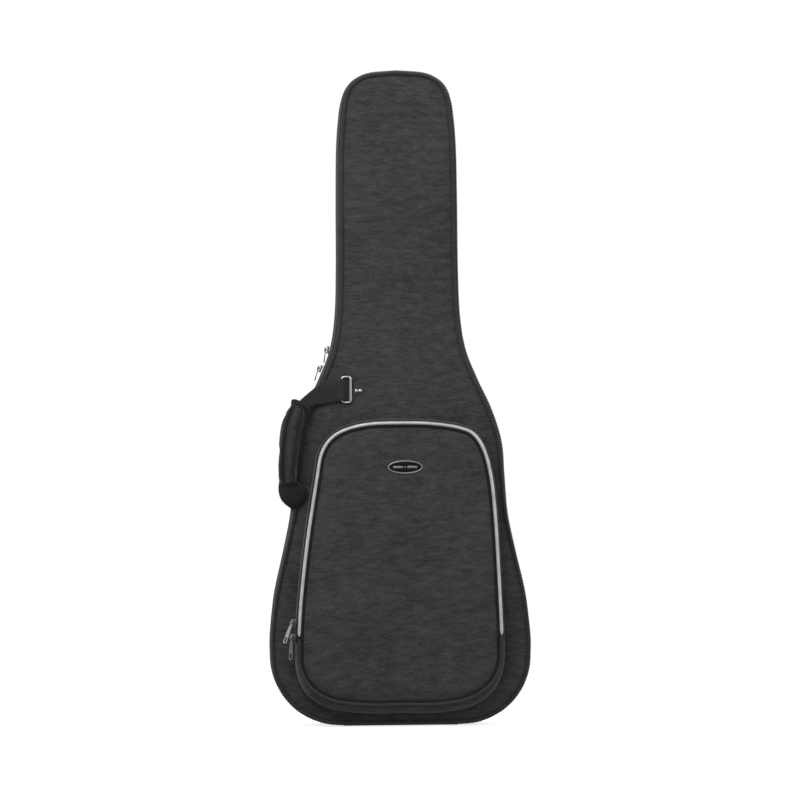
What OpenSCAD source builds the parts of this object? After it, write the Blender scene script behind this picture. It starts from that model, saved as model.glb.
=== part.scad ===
// Padded electric-guitar gig bag. Millimetres, +Z up, the front faces -Y and +X is on the right
// when seen from the front. The origin is the centre of the flat strip that the bag stands on.

/* [Case] */
// Overall height of the case
bag_h = 1070; // [1060:1:1080]
// Width across the lower bout
bout_w = 426; // [420:1:432]
// Depth of the case without the pocket
case_d = 108; // [104:1:112]
// Thickness of the padded walls
wall_t = 20; // [18:0.5:21]
// Thickness of the outer fabric
skin_t = 2.5; // [2:0.1:3]
// Thickness of the plush lining
lining_t = 2; // [1.5:0.1:2.5]
// Half length of the flat base strip
base_half_w = 99.5; // [90:0.5:99.5]
// Thickness of the wear guard under the base
guard_t = 2; // [1.5:0.1:3]

/* [Seams and zip] */
// Distance from the silhouette to the seam of the front and back panels
panel_inset = 6; // [5:0.5:8]
// Width of each zip tape
tape_w = 9; // [7:0.5:11]
// Gap between the two halves of the case
part_gap = 0.5; // [0.4:0.1:0.8]
// Height of the zip teeth above the tape
tooth_h = 1; // [0.6:0.1:1.2]

/* [Pocket] */
// Depth of the accessory pocket
pocket_d = 40; // [36:1:42]
// Height of the line that the pocket door folds on
pocket_fold_z = 140; // [138:1:144]
// Thickness of the pocket door
door_t = 5.5; // [5:0.1:6]

/* [Handle] */
// Width of the handle webbing
webbing_w = 35; // [30:1:35]
// Thickness of the handle webbing
webbing_t = 2.4; // [2:0.1:3]
// Height of the metal ring
ring_h = 44; // [44:1:46]
// Wire diameter of the ring
ring_wire_d = 4; // [3.4:0.1:4.2]
// Length of the padded grip
grip_len = 112; // [106:1:114]
// Width of the padded grip
grip_w = 30; // [28:1:31]

/* [Shoulder straps] */
// Width of the padded strap
pad_w = 62; // [50:1:66]
// Thickness of the padded strap
pad_t = 11; // [9:0.5:12]
// How far the padded strap bows away from the back
pad_bow = 24; // [20:1:26]
// Width of the adjusting webbing
strap_w = 25; // [20:1:28]

/* [Hidden] */
$fn = 48;

// --- colours ---
CLOTH = "#3f4140";
CLOTH_DARK = "#323332";
PADDING = "#8d8f8c";
PLUSH = "#4b4c50";
WEBBING = "#262727";
SILVER = "#c3c4c2";
METAL = "#b4b5b6";
MOULDED = "#1c1c1d";

// --- case planes (Y) ---
half_d = case_d / 2;
front_y = -half_d;
back_y = half_d;
front_skin_in = front_y + skin_t;
front_foam_in = front_y + wall_t - lining_t;
front_in = front_y + wall_t;
back_in = back_y - wall_t;
back_foam_in = back_in + lining_t;
back_skin_in = back_y - skin_t;
foam_in = wall_t - lining_t;
// The side foam stops short of the zip, so the sliders and pulls have room on the hollow neck curve.
FOAM_STOP = 12;

// --- outline of the case in X and Z, right half, from the base to the head ---
CORNER_R = 112;
corner_x = bout_w / 2 - CORNER_R - 0.5;
kx = bout_w / 426;
kz = bag_h / 1070;
SIDE = [
  [212.5, 112], [212.8, 140], [209.5, 178], [203.5, 221], [188.5, 287], [177, 345], [172.3, 405],
  [168, 462], [151.5, 516], [129, 565], [110, 614], [101.2, 672], [98.7, 750], [98.2, 850], [97, 940],
  [93.5, 992], [88.5, 1024], [79.5, 1045], [64, 1058.5], [42, 1066.5], [0, 1070]
];

function hermite(a, ta, b, tb, t) =
  a * (1 + 2 * t) * (1 - t) * (1 - t) + ta * t * (1 - t) * (1 - t)
  + b * t * t * (3 - 2 * t) + tb * t * t * (t - 1);
function tangent(k, i) =
  i == 0 ? k[1] - k[0] : i == len(k) - 1 ? k[i] - k[i - 1] : (k[i + 1] - k[i - 1]) / 2;
function curve(k, n) = [
  for (i = [0 : len(k) - 2], j = [0 : n - 1])
    hermite(k[i], tangent(k, i), k[i + 1], tangent(k, i + 1), j / n)
];
function unit(v) = v / norm(v);
function turned(v) = [v[1], -v[0]];
// Moves every point of a closed outline inwards by d.
function inset(p, d) = [
  for (i = [0 : len(p) - 1])
    let (a = p[(i + len(p) - 1) % len(p)], b = p[(i + 1) % len(p)])
      p[i] - d * turned(unit(b - a))
];
function mirrored(p) = [for (i = [len(p) - 1 : -1 : 0]) [-p[i][0], p[i][1]]];

CORNER_STEPS = 12;
corner = [
  for (i = [0 : CORNER_STEPS - 1])
    let (a = -90 + 90 * i / CORNER_STEPS) [corner_x + CORNER_R * cos(a), CORNER_R * (1 + sin(a))]
];
side_knots = [for (k = SIDE) [k[0] * kx, k[1] * kz]];
half_outline = concat([[40, 0]], corner, curve(side_knots, 4));
case_outline = [
  for (p = concat(half_outline, [[0, bag_h]], mirrored(half_outline)))
    [p[0], guard_t + p[1] * (bag_h - guard_t) / bag_h]
];

// --- outline of the pocket: it leans slightly, as the soft front does ---
POCKET_SIDE_RIGHT = [
  [0, 22], [60, 22], [112, 31], [147, 54], [165, 90], [168.5, 140], [166.5, 205], [163.5, 270],
  [160, 335], [154, 400], [143, 448], [124, 479], [96, 492], [50, 499], [4, 500.5]
];
POCKET_SIDE_LEFT = [
  [4, 500.5], [-50, 499], [-90, 490], [-117, 474], [-134, 447], [-142, 405], [-148.5, 365],
  [-157, 310], [-164.5, 250], [-170, 195], [-173, 140], [-171, 90], [-153, 52], [-116, 30], [-60, 22], [0, 22]
];
pocket_outline = concat(curve(POCKET_SIDE_RIGHT, 4), curve(POCKET_SIDE_LEFT, 4));
pocket_y = front_y - pocket_d;
pocket_rim_y = pocket_y + 4;
door_gap = 0.3;
POCKET_SKIN = 2.5;
// The door lies inside the gusset's outline by door_inset, and its piping is piping_w wide.
door_inset = 3.2;
piping_w = 4;
panel_edge = door_inset + piping_w;
pocket_tape_y = pocket_y + 8;

// A flat prism of the outline p between two depths
module slab(p, y0, y1) {
  translate([0, y1, 0]) rotate([90, 0, 0]) linear_extrude(y1 - y0) polygon(p);
}
// The wall between two inset outlines
module wall(p, outer, inner, y0, y1) {
  difference() {
    slab(inset(p, outer), y0, y1);
    slab(inset(p, inner), y0 - 1, y1 + 1);
  }
}
// The space that the base strip fills, from depth y0 backwards
module base_space(y0, grow) {
  w = base_half_w + grow;
  translate([-w, y0, -1]) cube([2 * w, case_d, wall_t + 40]);
}
module above(z) {
  translate([-300, -200, z]) cube([600, 400, 1200]);
}
module below(z) {
  translate([-300, -200, z - 400]) cube([600, 400, 400]);
}

// --- rear half of the case ---
module back_panel() {
  color(CLOTH) slab(inset(case_outline, panel_inset), back_skin_in, back_y);
}
module back_foam() {
  color(PADDING) slab(inset(case_outline, foam_in), back_foam_in, back_skin_in);
}
module back_lining() {
  color(PLUSH) slab(inset(case_outline, foam_in), back_in, back_foam_in);
}
module rear_gusset() {
  color(CLOTH_DARK) difference() {
    wall(case_outline, 0, skin_t, tape_w, back_skin_in);
    base_space(0, part_gap);
  }
}
module rear_gusset_foam() {
  color(PADDING) difference() {
    wall(case_outline, skin_t, foam_in, FOAM_STOP, back_skin_in);
    base_space(0, part_gap);
  }
}
module rear_gusset_lining() {
  color(PLUSH) difference() {
    wall(case_outline, foam_in, wall_t, part_gap, back_in);
    base_space(0, part_gap);
  }
}
module rear_piping() {
  color(CLOTH_DARK) wall(case_outline, 1, panel_inset, back_skin_in, back_y);
}
// Half of the main zip: a tape and its row of teeth
module zip_half(y0, y1, tooth_y0, tooth_y1) {
  color(MOULDED) difference() {
    union() {
      wall(case_outline, tooth_h, skin_t, y0, y1);
      wall(case_outline, 0, tooth_h + 0.1, tooth_y0, tooth_y1);
    }
    base_space(-case_d / 2, part_gap);
  }
}
module rear_zip_tape() {
  zip_half(part_gap, tape_w, part_gap, 3);
}
module base_gusset() {
  color(CLOTH_DARK)
    translate([-base_half_w, front_in + part_gap, guard_t])
      cube([2 * base_half_w, back_skin_in - front_in - part_gap, skin_t]);
}
module base_foam() {
  color(PADDING)
    translate([-base_half_w, front_in + part_gap, guard_t + skin_t])
      cube([2 * base_half_w, back_skin_in - front_in - part_gap, foam_in - skin_t]);
}
module base_lining() {
  color(PLUSH)
    translate([-base_half_w, front_in + part_gap, guard_t + foam_in])
      cube([2 * base_half_w, back_in - front_in - part_gap, lining_t]);
}
module base_guard() {
  guard_w = 2 * base_half_w - 12;
  color(MOULDED)
    translate([-guard_w / 2, front_in + 1, 0]) cube([guard_w, back_y - front_in - 3, guard_t]);
}
module strap_pin_pad() {
  color(MOULDED)
    translate([0, 0, guard_t + wall_t]) cylinder(h = 2, r = 26);
}

// --- neck support inside the case ---
CRADLE_Z = 728;
CRADLE_H = 66;
CRADLE_HALF_W = 73;
CRADLE_Y = 8;
NOTCH_HALF_W = 29;
NOTCH_D = 14;
module neck_cradle() {
  color(PLUSH) difference() {
    translate([-CRADLE_HALF_W, CRADLE_Y, CRADLE_Z])
      cube([2 * CRADLE_HALF_W, back_in - CRADLE_Y, CRADLE_H]);
    translate([-NOTCH_HALF_W, CRADLE_Y - 1, CRADLE_Z - 1])
      cube([2 * NOTCH_HALF_W, NOTCH_D + 1, CRADLE_H + 2]);
  }
}
STRAP_T = 2.4;
NECK_STRAP_W = 38;
neck_strap_y = CRADLE_Y - 4;
neck_strap_z = CRADLE_Z + (CRADLE_H - NECK_STRAP_W) / 2;
// The sewn end that the neck strap folds from
module neck_strap_base() {
  color(WEBBING) translate([-54, neck_strap_y - STRAP_T, neck_strap_z])
    cube([11, CRADLE_Y - neck_strap_y + STRAP_T, NECK_STRAP_W]);
}
module neck_strap() {
  color(WEBBING) translate([-41, neck_strap_y - STRAP_T, neck_strap_z]) cube([88, STRAP_T, NECK_STRAP_W]);
}

// --- back of the case ---
LOOP_Z = 1008;
LOOP_R = 17;
module hanging_loop() {
  color(WEBBING)
    translate([-strap_w / 2, back_y, LOOP_Z]) rotate([0, 90, 0])
      difference() {
        cylinder(h = strap_w, r = LOOP_R);
        translate([0, 0, -1]) cylinder(h = strap_w + 2, r = LOOP_R - STRAP_T);
        translate([-LOOP_R - 1, -2 * LOOP_R, -1]) cube([2 * LOOP_R + 2, 2 * LOOP_R, strap_w + 2]);
      }
}
STRAP_TOP = [34, 712];
STRAP_LEAN = 8;
PAD_LEN = 372;
YOKE = [[-72, 690], [72, 690], [60, 736], [-60, 736]];
YOKE_T = 2.5;
module strap_yoke() {
  color(CLOTH_DARK) slab(YOKE, back_y, back_y + YOKE_T);
}
PAD_STEPS = 16;
pad_y0 = back_y + YOKE_T + 0.5;
// Side view of a bowed pad: t runs from the yoke down to the buckle.
function pad_line(t, out) = [pad_y0 + out + pad_bow * sin(180 * t) * (1 - 0.15 * t), -PAD_LEN * t];
module shoulder_pad(side) {
  profile = concat(
    [for (i = [0 : PAD_STEPS]) pad_line(i / PAD_STEPS, 0)],
    [for (i = [PAD_STEPS : -1 : 0]) pad_line(i / PAD_STEPS, pad_t)]
  );
  color(CLOTH_DARK)
    translate([side * STRAP_TOP[0], 0, STRAP_TOP[1]]) rotate([0, -side * STRAP_LEAN, 0])
      translate([-pad_w / 2, 0, 0]) rotate([90, 0, 90]) linear_extrude(pad_w) polygon(profile);
}
pad_end = [
  STRAP_TOP[0] + PAD_LEN * sin(STRAP_LEAN),
  STRAP_TOP[1] - PAD_LEN * cos(STRAP_LEAN)
];
LOCK_LEN = 30;
LOCK_W = 34;
LOCK_T = 5;
lock_y = pad_y0 + 3;
// Buckle at the end of the pad, with two slots and a thumb bar between them
module ladder_lock(side) {
  color(MOULDED)
    translate([side * pad_end[0], lock_y, pad_end[1]]) rotate([0, -side * STRAP_LEAN, 0])
      difference() {
        translate([-LOCK_W / 2, 0, -LOCK_LEN - 1]) cube([LOCK_W, LOCK_T, LOCK_LEN]);
        for (z = [-9, -18, -27])
          translate([-LOCK_W / 2 + 4, -1, z]) cube([LOCK_W - 8, LOCK_T + 2, 3.6]);
      }
}
TAB_X = 150;
TAB_Z = 118;
lock_end = [pad_end[0] + (LOCK_LEN + 3) * sin(STRAP_LEAN), pad_end[1] - (LOCK_LEN + 3) * cos(STRAP_LEAN)];
web_run = [TAB_X, TAB_Z] - lock_end;
web_lean = atan2(web_run[0], -web_run[1]);
web_len = norm(web_run);
module strap_webbing(side) {
  color(WEBBING)
    translate([side * lock_end[0], lock_y + 1, lock_end[1]]) rotate([0, -side * web_lean, 0])
      translate([-strap_w / 2, 0, -web_len]) cube([strap_w, 2, web_len]);
}
module strap_tab(side) {
  w = strap_w / 2 + 4;
  color(CLOTH_DARK)
    translate([side * TAB_X, 0, TAB_Z]) rotate([0, -side * web_lean, 0])
      slab([[-w, 26], [-w - 10, -16], [w + 10, -16], [w, 26]], back_y + 0.2, lock_y + 0.6);
}

// --- front half of the case: the lid ---
module front_panel() {
  color(CLOTH) slab(inset(case_outline, panel_inset), front_y, front_skin_in);
}
module front_foam() {
  color(PADDING) slab(inset(case_outline, foam_in), front_skin_in, front_foam_in);
}
module front_lining() {
  color(PLUSH) slab(inset(case_outline, foam_in), front_foam_in, front_in);
}
module front_gusset() {
  color(CLOTH_DARK) difference() {
    wall(case_outline, 0, skin_t, front_skin_in, -tape_w);
    base_space(front_in, part_gap);
  }
}
module front_gusset_foam() {
  color(PADDING) difference() {
    wall(case_outline, skin_t, foam_in, front_skin_in, -FOAM_STOP);
    base_space(front_in, part_gap);
  }
}
module front_gusset_lining() {
  color(PLUSH) difference() {
    wall(case_outline, foam_in, wall_t, front_in, -part_gap);
    base_space(front_in - 1, part_gap);
  }
}
module front_piping() {
  color(CLOTH_DARK) wall(case_outline, 1, panel_inset, front_y, front_skin_in);
}
module front_zip_tape() {
  zip_half(-tape_w, -part_gap, -3, -part_gap);
}

// --- pocket ---
module pocket_gusset() {
  color(CLOTH_DARK) union() {
    wall(pocket_outline, 0, POCKET_SKIN, pocket_tape_y + tape_w - 3, front_y);
    intersection() {
      union() {
        wall(pocket_outline, 0, POCKET_SKIN, pocket_rim_y, front_y);
        wall(pocket_outline, 0, panel_edge, pocket_rim_y, pocket_rim_y + 1.5);
      }
      below(pocket_fold_z - door_gap);
    }
  }
}
module pocket_lower_panel() {
  color(CLOTH) intersection() {
    slab(inset(pocket_outline, panel_edge), pocket_y, pocket_rim_y + 1.5);
    below(pocket_fold_z - door_gap);
  }
}
module pocket_lower_piping() {
  color(CLOTH_DARK) intersection() {
    wall(pocket_outline, door_inset, panel_edge, pocket_y, pocket_rim_y);
    below(pocket_fold_z - door_gap);
  }
}
module pocket_zip_tape() {
  color(MOULDED) intersection() {
    wall(pocket_outline, 0, POCKET_SKIN, pocket_tape_y, pocket_tape_y + tape_w - 3);
    above(pocket_fold_z - door_gap);
  }
}
module pocket_door() {
  color(CLOTH) intersection() {
    slab(inset(pocket_outline, panel_edge), pocket_y, pocket_y + door_t);
    above(pocket_fold_z + door_gap);
  }
}
module pocket_door_piping() {
  color(SILVER) intersection() {
    wall(pocket_outline, door_inset, panel_edge, pocket_y, pocket_rim_y);
    above(pocket_fold_z + door_gap);
  }
}
module pocket_door_tape() {
  color(MOULDED) intersection() {
    wall(pocket_outline, door_inset - 0.4, panel_edge, pocket_rim_y, pocket_y + door_t);
    above(pocket_fold_z + door_gap);
  }
}
BADGE = [7.5, 423.5];
BADGE_HALF = [29.5, 12.5];
function oval(a, b, n) = [for (i = [0 : n - 1]) [a * cos(360 * i / n), b * sin(360 * i / n)]];
module badge_plate() {
  color(MOULDED) translate([BADGE[0], 0, BADGE[1]])
    slab(oval(BADGE_HALF[0] - 2.5, BADGE_HALF[1] - 2.5, 48), pocket_y - 1.8, pocket_y);
}
module badge_rim() {
  color(METAL) translate([BADGE[0], 0, BADGE[1]]) difference() {
    slab(oval(BADGE_HALF[0], BADGE_HALF[1], 48), pocket_y - 2.4, pocket_y);
    slab(oval(BADGE_HALF[0] - 2.5, BADGE_HALF[1] - 2.5, 48), pocket_y - 3, pocket_y + 1);
  }
}

// --- handle ---
RING_Z = 549;
RING_RIGHT_X = -78.5;
RING_W = 16;
ring_left_x = RING_RIGHT_X - RING_W;
ring_y = front_y - 1 - webbing_t - ring_wire_d / 2;
WEB_END_X = -143;
SLEEVE_R = 0.3;
module bar(a, b) {
  run = b - a;
  translate(a) rotate([0, acos(run[2] / norm(run)), atan2(run[1], run[0])])
    cylinder(h = norm(run), r = ring_wire_d / 2);
}
module handle_ring() {
  z0 = RING_Z - ring_h / 2 + ring_wire_d / 2;
  z1 = RING_Z + ring_h / 2 - ring_wire_d / 2;
  corners = [
    [ring_left_x, ring_y, z0], [RING_RIGHT_X, ring_y, z0],
    [RING_RIGHT_X, ring_y, z1], [ring_left_x, ring_y, z1]
  ];
  color(METAL) union() {
    for (i = [0 : 3]) bar(corners[i], corners[(i + 1) % 4]);
    for (c = corners) translate(c) sphere(r = ring_wire_d / 2);
  }
}
// Flat webbing that folds round the ring's left bar and runs to the case edge
module handle_webbing() {
  wrap_in = ring_wire_d / 2 + SLEEVE_R;
  wrap_out = wrap_in + webbing_t;
  z0 = RING_Z - webbing_w / 2;
  color(WEBBING) union() {
    translate([ring_left_x, ring_y, z0]) difference() {
      cylinder(h = webbing_w, r = wrap_out);
      translate([0, 0, -1]) cylinder(h = webbing_w + 2, r = wrap_in);
    }
    translate([WEB_END_X, front_y - webbing_t - 0.4, z0])
      cube([ring_left_x - WEB_END_X, webbing_t, webbing_w]);
  }
}
TAB_PLATE_T = 1.2;
RIVETS_X = [-68, -61.5];
module ring_tab() {
  color(CLOTH_DARK)
    slab(
      [[-74.5, RING_Z - 14], [-58, RING_Z - 3.5], [-55.5, RING_Z], [-58, RING_Z + 3.5], [-74.5, RING_Z + 14]],
      front_y - TAB_PLATE_T, front_y
    );
}
module ring_rivets() {
  color(METAL) for (x = RIVETS_X)
    translate([x, front_y - TAB_PLATE_T, RING_Z]) rotate([90, 0, 0]) cylinder(h = 1.6, r1 = 2.1, r2 = 1.3);
}

// The handle swings on a line between its two sewn ends.
PIVOT_TOP = [-155, -64, 527];
PIVOT_LOW = [-164, -61, 352];
GRIP_TOP = [-172, -75, 504];
GRIP_LOW = [-183, -75, 398];
grip_thick = 25;
module handle_grip() {
  r = 8;
  color(WEBBING) hull() for (c = [GRIP_TOP, GRIP_LOW], dx = [-1, 1], dy = [-1, 1])
    translate(c + [dx * (grip_w / 2 - r), dy * (grip_thick / 2 - r), 0]) sphere(r = r, $fn = 20);
}
module handle_twist() {
  color(WEBBING) hull() {
    translate(PIVOT_TOP) sphere(r = 8.5, $fn = 20);
    translate(GRIP_TOP + [0, 2, 16]) sphere(r = 7.5, $fn = 20);
  }
}
module handle_lower_webbing() {
  color(WEBBING) hull() {
    translate(PIVOT_LOW + [0, 0, 6]) sphere(r = 5, $fn = 20);
    for (dx = [-11, 11]) translate(GRIP_LOW + [dx, 2, -12]) sphere(r = 3, $fn = 20);
  }
}
module handle_anchor() {
  color(WEBBING)
    slab([[-176, 326], [-156.5, 326], [-156.5, 345], [-176, 345]], front_y - webbing_t, front_y);
}

// --- zip sliders and pullers ---
SLIDER_L = 13;
SLIDER_W = 10;
SLIDER_T = 3.6;
PIN_R = 0.9;
PIN_PLAY = 0.08;
PIN_OUT = 2.4;
PULL_W = 8;
PULL_T = 2.2;
MAIN_PULL_L = 22;
POCKET_PULL_L = 36;
// A slider against a wall whose outward normal is -X, at the origin, travelling along Z
module slider_body() {
  color(METAL) union() {
    translate([-SLIDER_T, -SLIDER_W / 2, -SLIDER_L / 2]) cube([SLIDER_T, SLIDER_W, SLIDER_L]);
    translate([-SLIDER_T - PIN_OUT, 0, 0]) rotate([90, 0, 0])
      cylinder(h = SLIDER_W - 1, r = PIN_R, center = true);
    for (y = [-SLIDER_W / 2 + 0.5, SLIDER_W / 2 - 1.5])
      translate([-SLIDER_T - PIN_OUT - 1.2, y, -1.4]) cube([PIN_OUT + 1.3, 1, 2.8]);
  }
}
// A flat pull of length l with an eye for the pin at the top and a slot at its free end
module puller_body(l) {
  color(METAL) difference() {
    union() {
      rotate([90, 0, 0]) cylinder(h = 5, r = PIN_R + 1.2, center = true);
      translate([-PULL_T / 2, -2.5, -7]) cube([PULL_T, 5, 7]);
      translate([-PULL_T / 2, -PULL_W / 2, -l]) cube([PULL_T, PULL_W, l - 6]);
    }
    rotate([90, 0, 0]) cylinder(h = 12, r = PIN_R + PIN_PLAY, center = true);
    translate([-PULL_T, -1.8, -l + 2.2]) cube([2 * PULL_T, 3.6, l / 4]);
  }
}
// Each place is [point, lean of the wall about Y, turn of the wall about Z, extra lean of the pull].
MAIN_UPPER = [[-111.7, 0, 614.2], 9.8, 0, -2];
MAIN_LOWER = [[-123.9, 0, 582.8], 23.4, 0, -6];
POCKET_UPPER = [[-174.3, pocket_y + 7.5, 171], 5.8, 45, 20];
POCKET_LOWER = [[-174.9, pocket_y + 7.5, 147], 2.2, 45, 0];
module at_place(p) {
  translate(p[0]) rotate([0, p[1], 0]) rotate([0, 0, p[2]]) children();
}
module slider(p) {
  at_place(p) slider_body();
}
module puller(p, l) {
  at_place(p) translate([-SLIDER_T - PIN_OUT, 0, 0]) rotate([0, p[3], 0]) puller_body(l);
}
module main_slider_upper() { slider(MAIN_UPPER); }
module main_puller_upper() { puller(MAIN_UPPER, MAIN_PULL_L); }
module main_slider_lower() { slider(MAIN_LOWER); }
module main_puller_lower() { puller(MAIN_LOWER, MAIN_PULL_L); }
module pocket_slider_upper() { slider(POCKET_UPPER); }
module pocket_puller_upper() { puller(POCKET_UPPER, POCKET_PULL_L); }
module pocket_slider_lower() { slider(POCKET_LOWER); }
module pocket_puller_lower() { puller(POCKET_LOWER, POCKET_PULL_L); }

back_panel();
back_foam();
back_lining();
rear_gusset();
rear_gusset_foam();
rear_gusset_lining();
rear_piping();
rear_zip_tape();
base_gusset();
base_foam();
base_lining();
base_guard();
strap_pin_pad();
neck_cradle();
neck_strap_base();
neck_strap();
hanging_loop();
strap_yoke();
shoulder_pad(-1);  // shoulder_pad_left
shoulder_pad(1);  // shoulder_pad_right
ladder_lock(-1);  // ladder_lock_left
ladder_lock(1);  // ladder_lock_right
strap_webbing(-1);  // strap_webbing_left
strap_webbing(1);  // strap_webbing_right
strap_tab(-1);  // strap_tab_left
strap_tab(1);  // strap_tab_right
front_panel();
front_foam();
front_lining();
front_gusset();
front_gusset_foam();
front_gusset_lining();
front_piping();
front_zip_tape();
pocket_gusset();
pocket_lower_panel();
pocket_lower_piping();
pocket_zip_tape();
pocket_door();
pocket_door_piping();
pocket_door_tape();
badge_plate();
badge_rim();
ring_tab();
ring_rivets();
handle_webbing();
handle_ring();
handle_grip();
handle_twist();
handle_lower_webbing();
handle_anchor();
main_slider_upper();
main_puller_upper();
main_slider_lower();
main_puller_lower();
pocket_slider_upper();
pocket_puller_upper();
pocket_slider_lower();
pocket_puller_lower();
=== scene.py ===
"""The looks of a padded electric-guitar gig bag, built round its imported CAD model.

Lengths are in millimetres unless a name says otherwise; meshes are made in metres.
The front faces -Y, +Z is up and +X is on the right seen from the front.
"""
import math

import bpy
import bmesh
import numpy as np
from mathutils import Matrix, Quaternion, Vector, noise
from mathutils.geometry import delaunay_2d_cdt


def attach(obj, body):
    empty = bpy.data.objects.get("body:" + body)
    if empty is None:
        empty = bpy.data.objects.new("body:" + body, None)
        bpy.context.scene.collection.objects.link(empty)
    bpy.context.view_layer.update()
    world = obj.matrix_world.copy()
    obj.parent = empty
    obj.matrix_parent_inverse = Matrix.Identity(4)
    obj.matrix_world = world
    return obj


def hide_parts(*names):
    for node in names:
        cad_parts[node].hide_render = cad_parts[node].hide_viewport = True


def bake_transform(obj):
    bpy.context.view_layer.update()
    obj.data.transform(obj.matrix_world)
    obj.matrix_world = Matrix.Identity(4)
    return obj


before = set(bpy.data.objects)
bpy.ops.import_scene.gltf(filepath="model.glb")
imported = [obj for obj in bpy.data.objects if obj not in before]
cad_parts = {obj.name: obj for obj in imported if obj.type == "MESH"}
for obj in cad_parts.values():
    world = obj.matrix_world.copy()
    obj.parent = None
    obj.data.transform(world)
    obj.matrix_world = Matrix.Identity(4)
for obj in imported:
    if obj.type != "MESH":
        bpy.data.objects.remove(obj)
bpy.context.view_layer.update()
MM = 0.001
REAR, LID, DOOR = "rear_shell", "front_lid", "pocket_door"
scene = bpy.context.scene

# ---------------------------------------------------------------- camera, light and sky
VIEW_W_M, LENS, SENSOR, CLIP_M = 1.3135, 200.0, 36.0, 200.0
AIM = Vector((0.004, 0.0, 0.5315))
AZIMUTH, ROLL = math.radians(-2.5), math.radians(-0.46)
away = Vector((math.sin(AZIMUTH), -math.cos(AZIMUTH), 0.0))
camera = bpy.data.objects.new("camera", bpy.data.cameras.new("camera"))
scene.collection.objects.link(camera)
camera.data.lens, camera.data.sensor_width, camera.data.clip_end = LENS, SENSOR, CLIP_M
camera.location = AIM + away * VIEW_W_M * LENS / SENSOR
camera.rotation_mode = "QUATERNION"
camera.rotation_quaternion = (-away).to_track_quat("-Z", "Y") @ Quaternion((0, 0, 1), ROLL)
scene.camera = camera
scene.view_settings.view_transform = "Standard"
scene.view_settings.look = "None"

# place, size and target in metres, and watts
MIDDLE = (0.0, 0.0, 0.55)
LIGHTS = {
    "key": ((-0.8, -1.8, 1.9), (1.3, 1.3), 30.0, (0.0, 0.0, 0.85)),
    "fill": ((2.0, -2.2, 1.5), (1.6, 1.8), 12.0, MIDDLE),
    "back_key": ((1.5, 2.4, 2.4), (1.4, 1.4), 52.0, MIDDLE),
    "side_left": ((-2.3, 0.8, 1.4), (1.4, 1.6), 16.0, MIDDLE),
    "side_right": ((2.4, 0.5, 1.2), (1.4, 1.6), 8.0, MIDDLE),
}
for name, (place, size, watts, target) in LIGHTS.items():
    lamp = bpy.data.lights.new(name, "AREA")
    lamp.energy, lamp.shape = watts, "RECTANGLE"
    lamp.size, lamp.size_y = size
    obj = bpy.data.objects.new(name, lamp)
    scene.collection.objects.link(obj)
    obj.location = place
    obj.rotation_mode = "QUATERNION"
    obj.rotation_quaternion = (Vector(target) - Vector(place)).to_track_quat("-Z", "Y")


def feed(tree, node, sockets):
    """Links or sets each of a node's inputs, by its name or number."""
    for key, value in sockets.items():
        if isinstance(value, bpy.types.NodeSocket):
            tree.links.new(value, node.inputs[key])
        else:
            node.inputs[key].default_value = value


# the light that surrounds the bag, dimmer from below; the camera sees plain white behind it
SKY_BELOW, SKY_ABOVE, SEEN_SKY = 0.22, 0.70, 1.02
world = bpy.data.worlds.new("studio")
scene.world = world
world.use_nodes = True
wt = world.node_tree
SKY_NODES = ("LightPath", "TexCoord", "SeparateXYZ", "MapRange", "MapRange")
path, direction, height, sky, level = (wt.nodes.new("ShaderNode" + kind) for kind in SKY_NODES)
feed(wt, height, {"Vector": direction.outputs["Generated"]})
feed(wt, sky, {"Value": height.outputs["Z"], "From Min": -1.0, "To Min": SKY_BELOW, "To Max": SKY_ABOVE})
feed(wt, level, {"Value": path.outputs["Is Camera Ray"], "To Min": sky.outputs["Result"], "To Max": SEEN_SKY})
feed(wt, wt.nodes["Background"], {"Color": (1.0, 1.0, 1.0, 1.0), "Strength": level.outputs["Result"]})

# ---------------------------------------------------------------- materials
MATS = {}                                                # every material, under its name
CHARCOAL, PILE, STEEL = (0.975, 1.022, 1.005), (0.97, 0.99, 1.06), (1.0, 0.995, 0.985)


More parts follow.
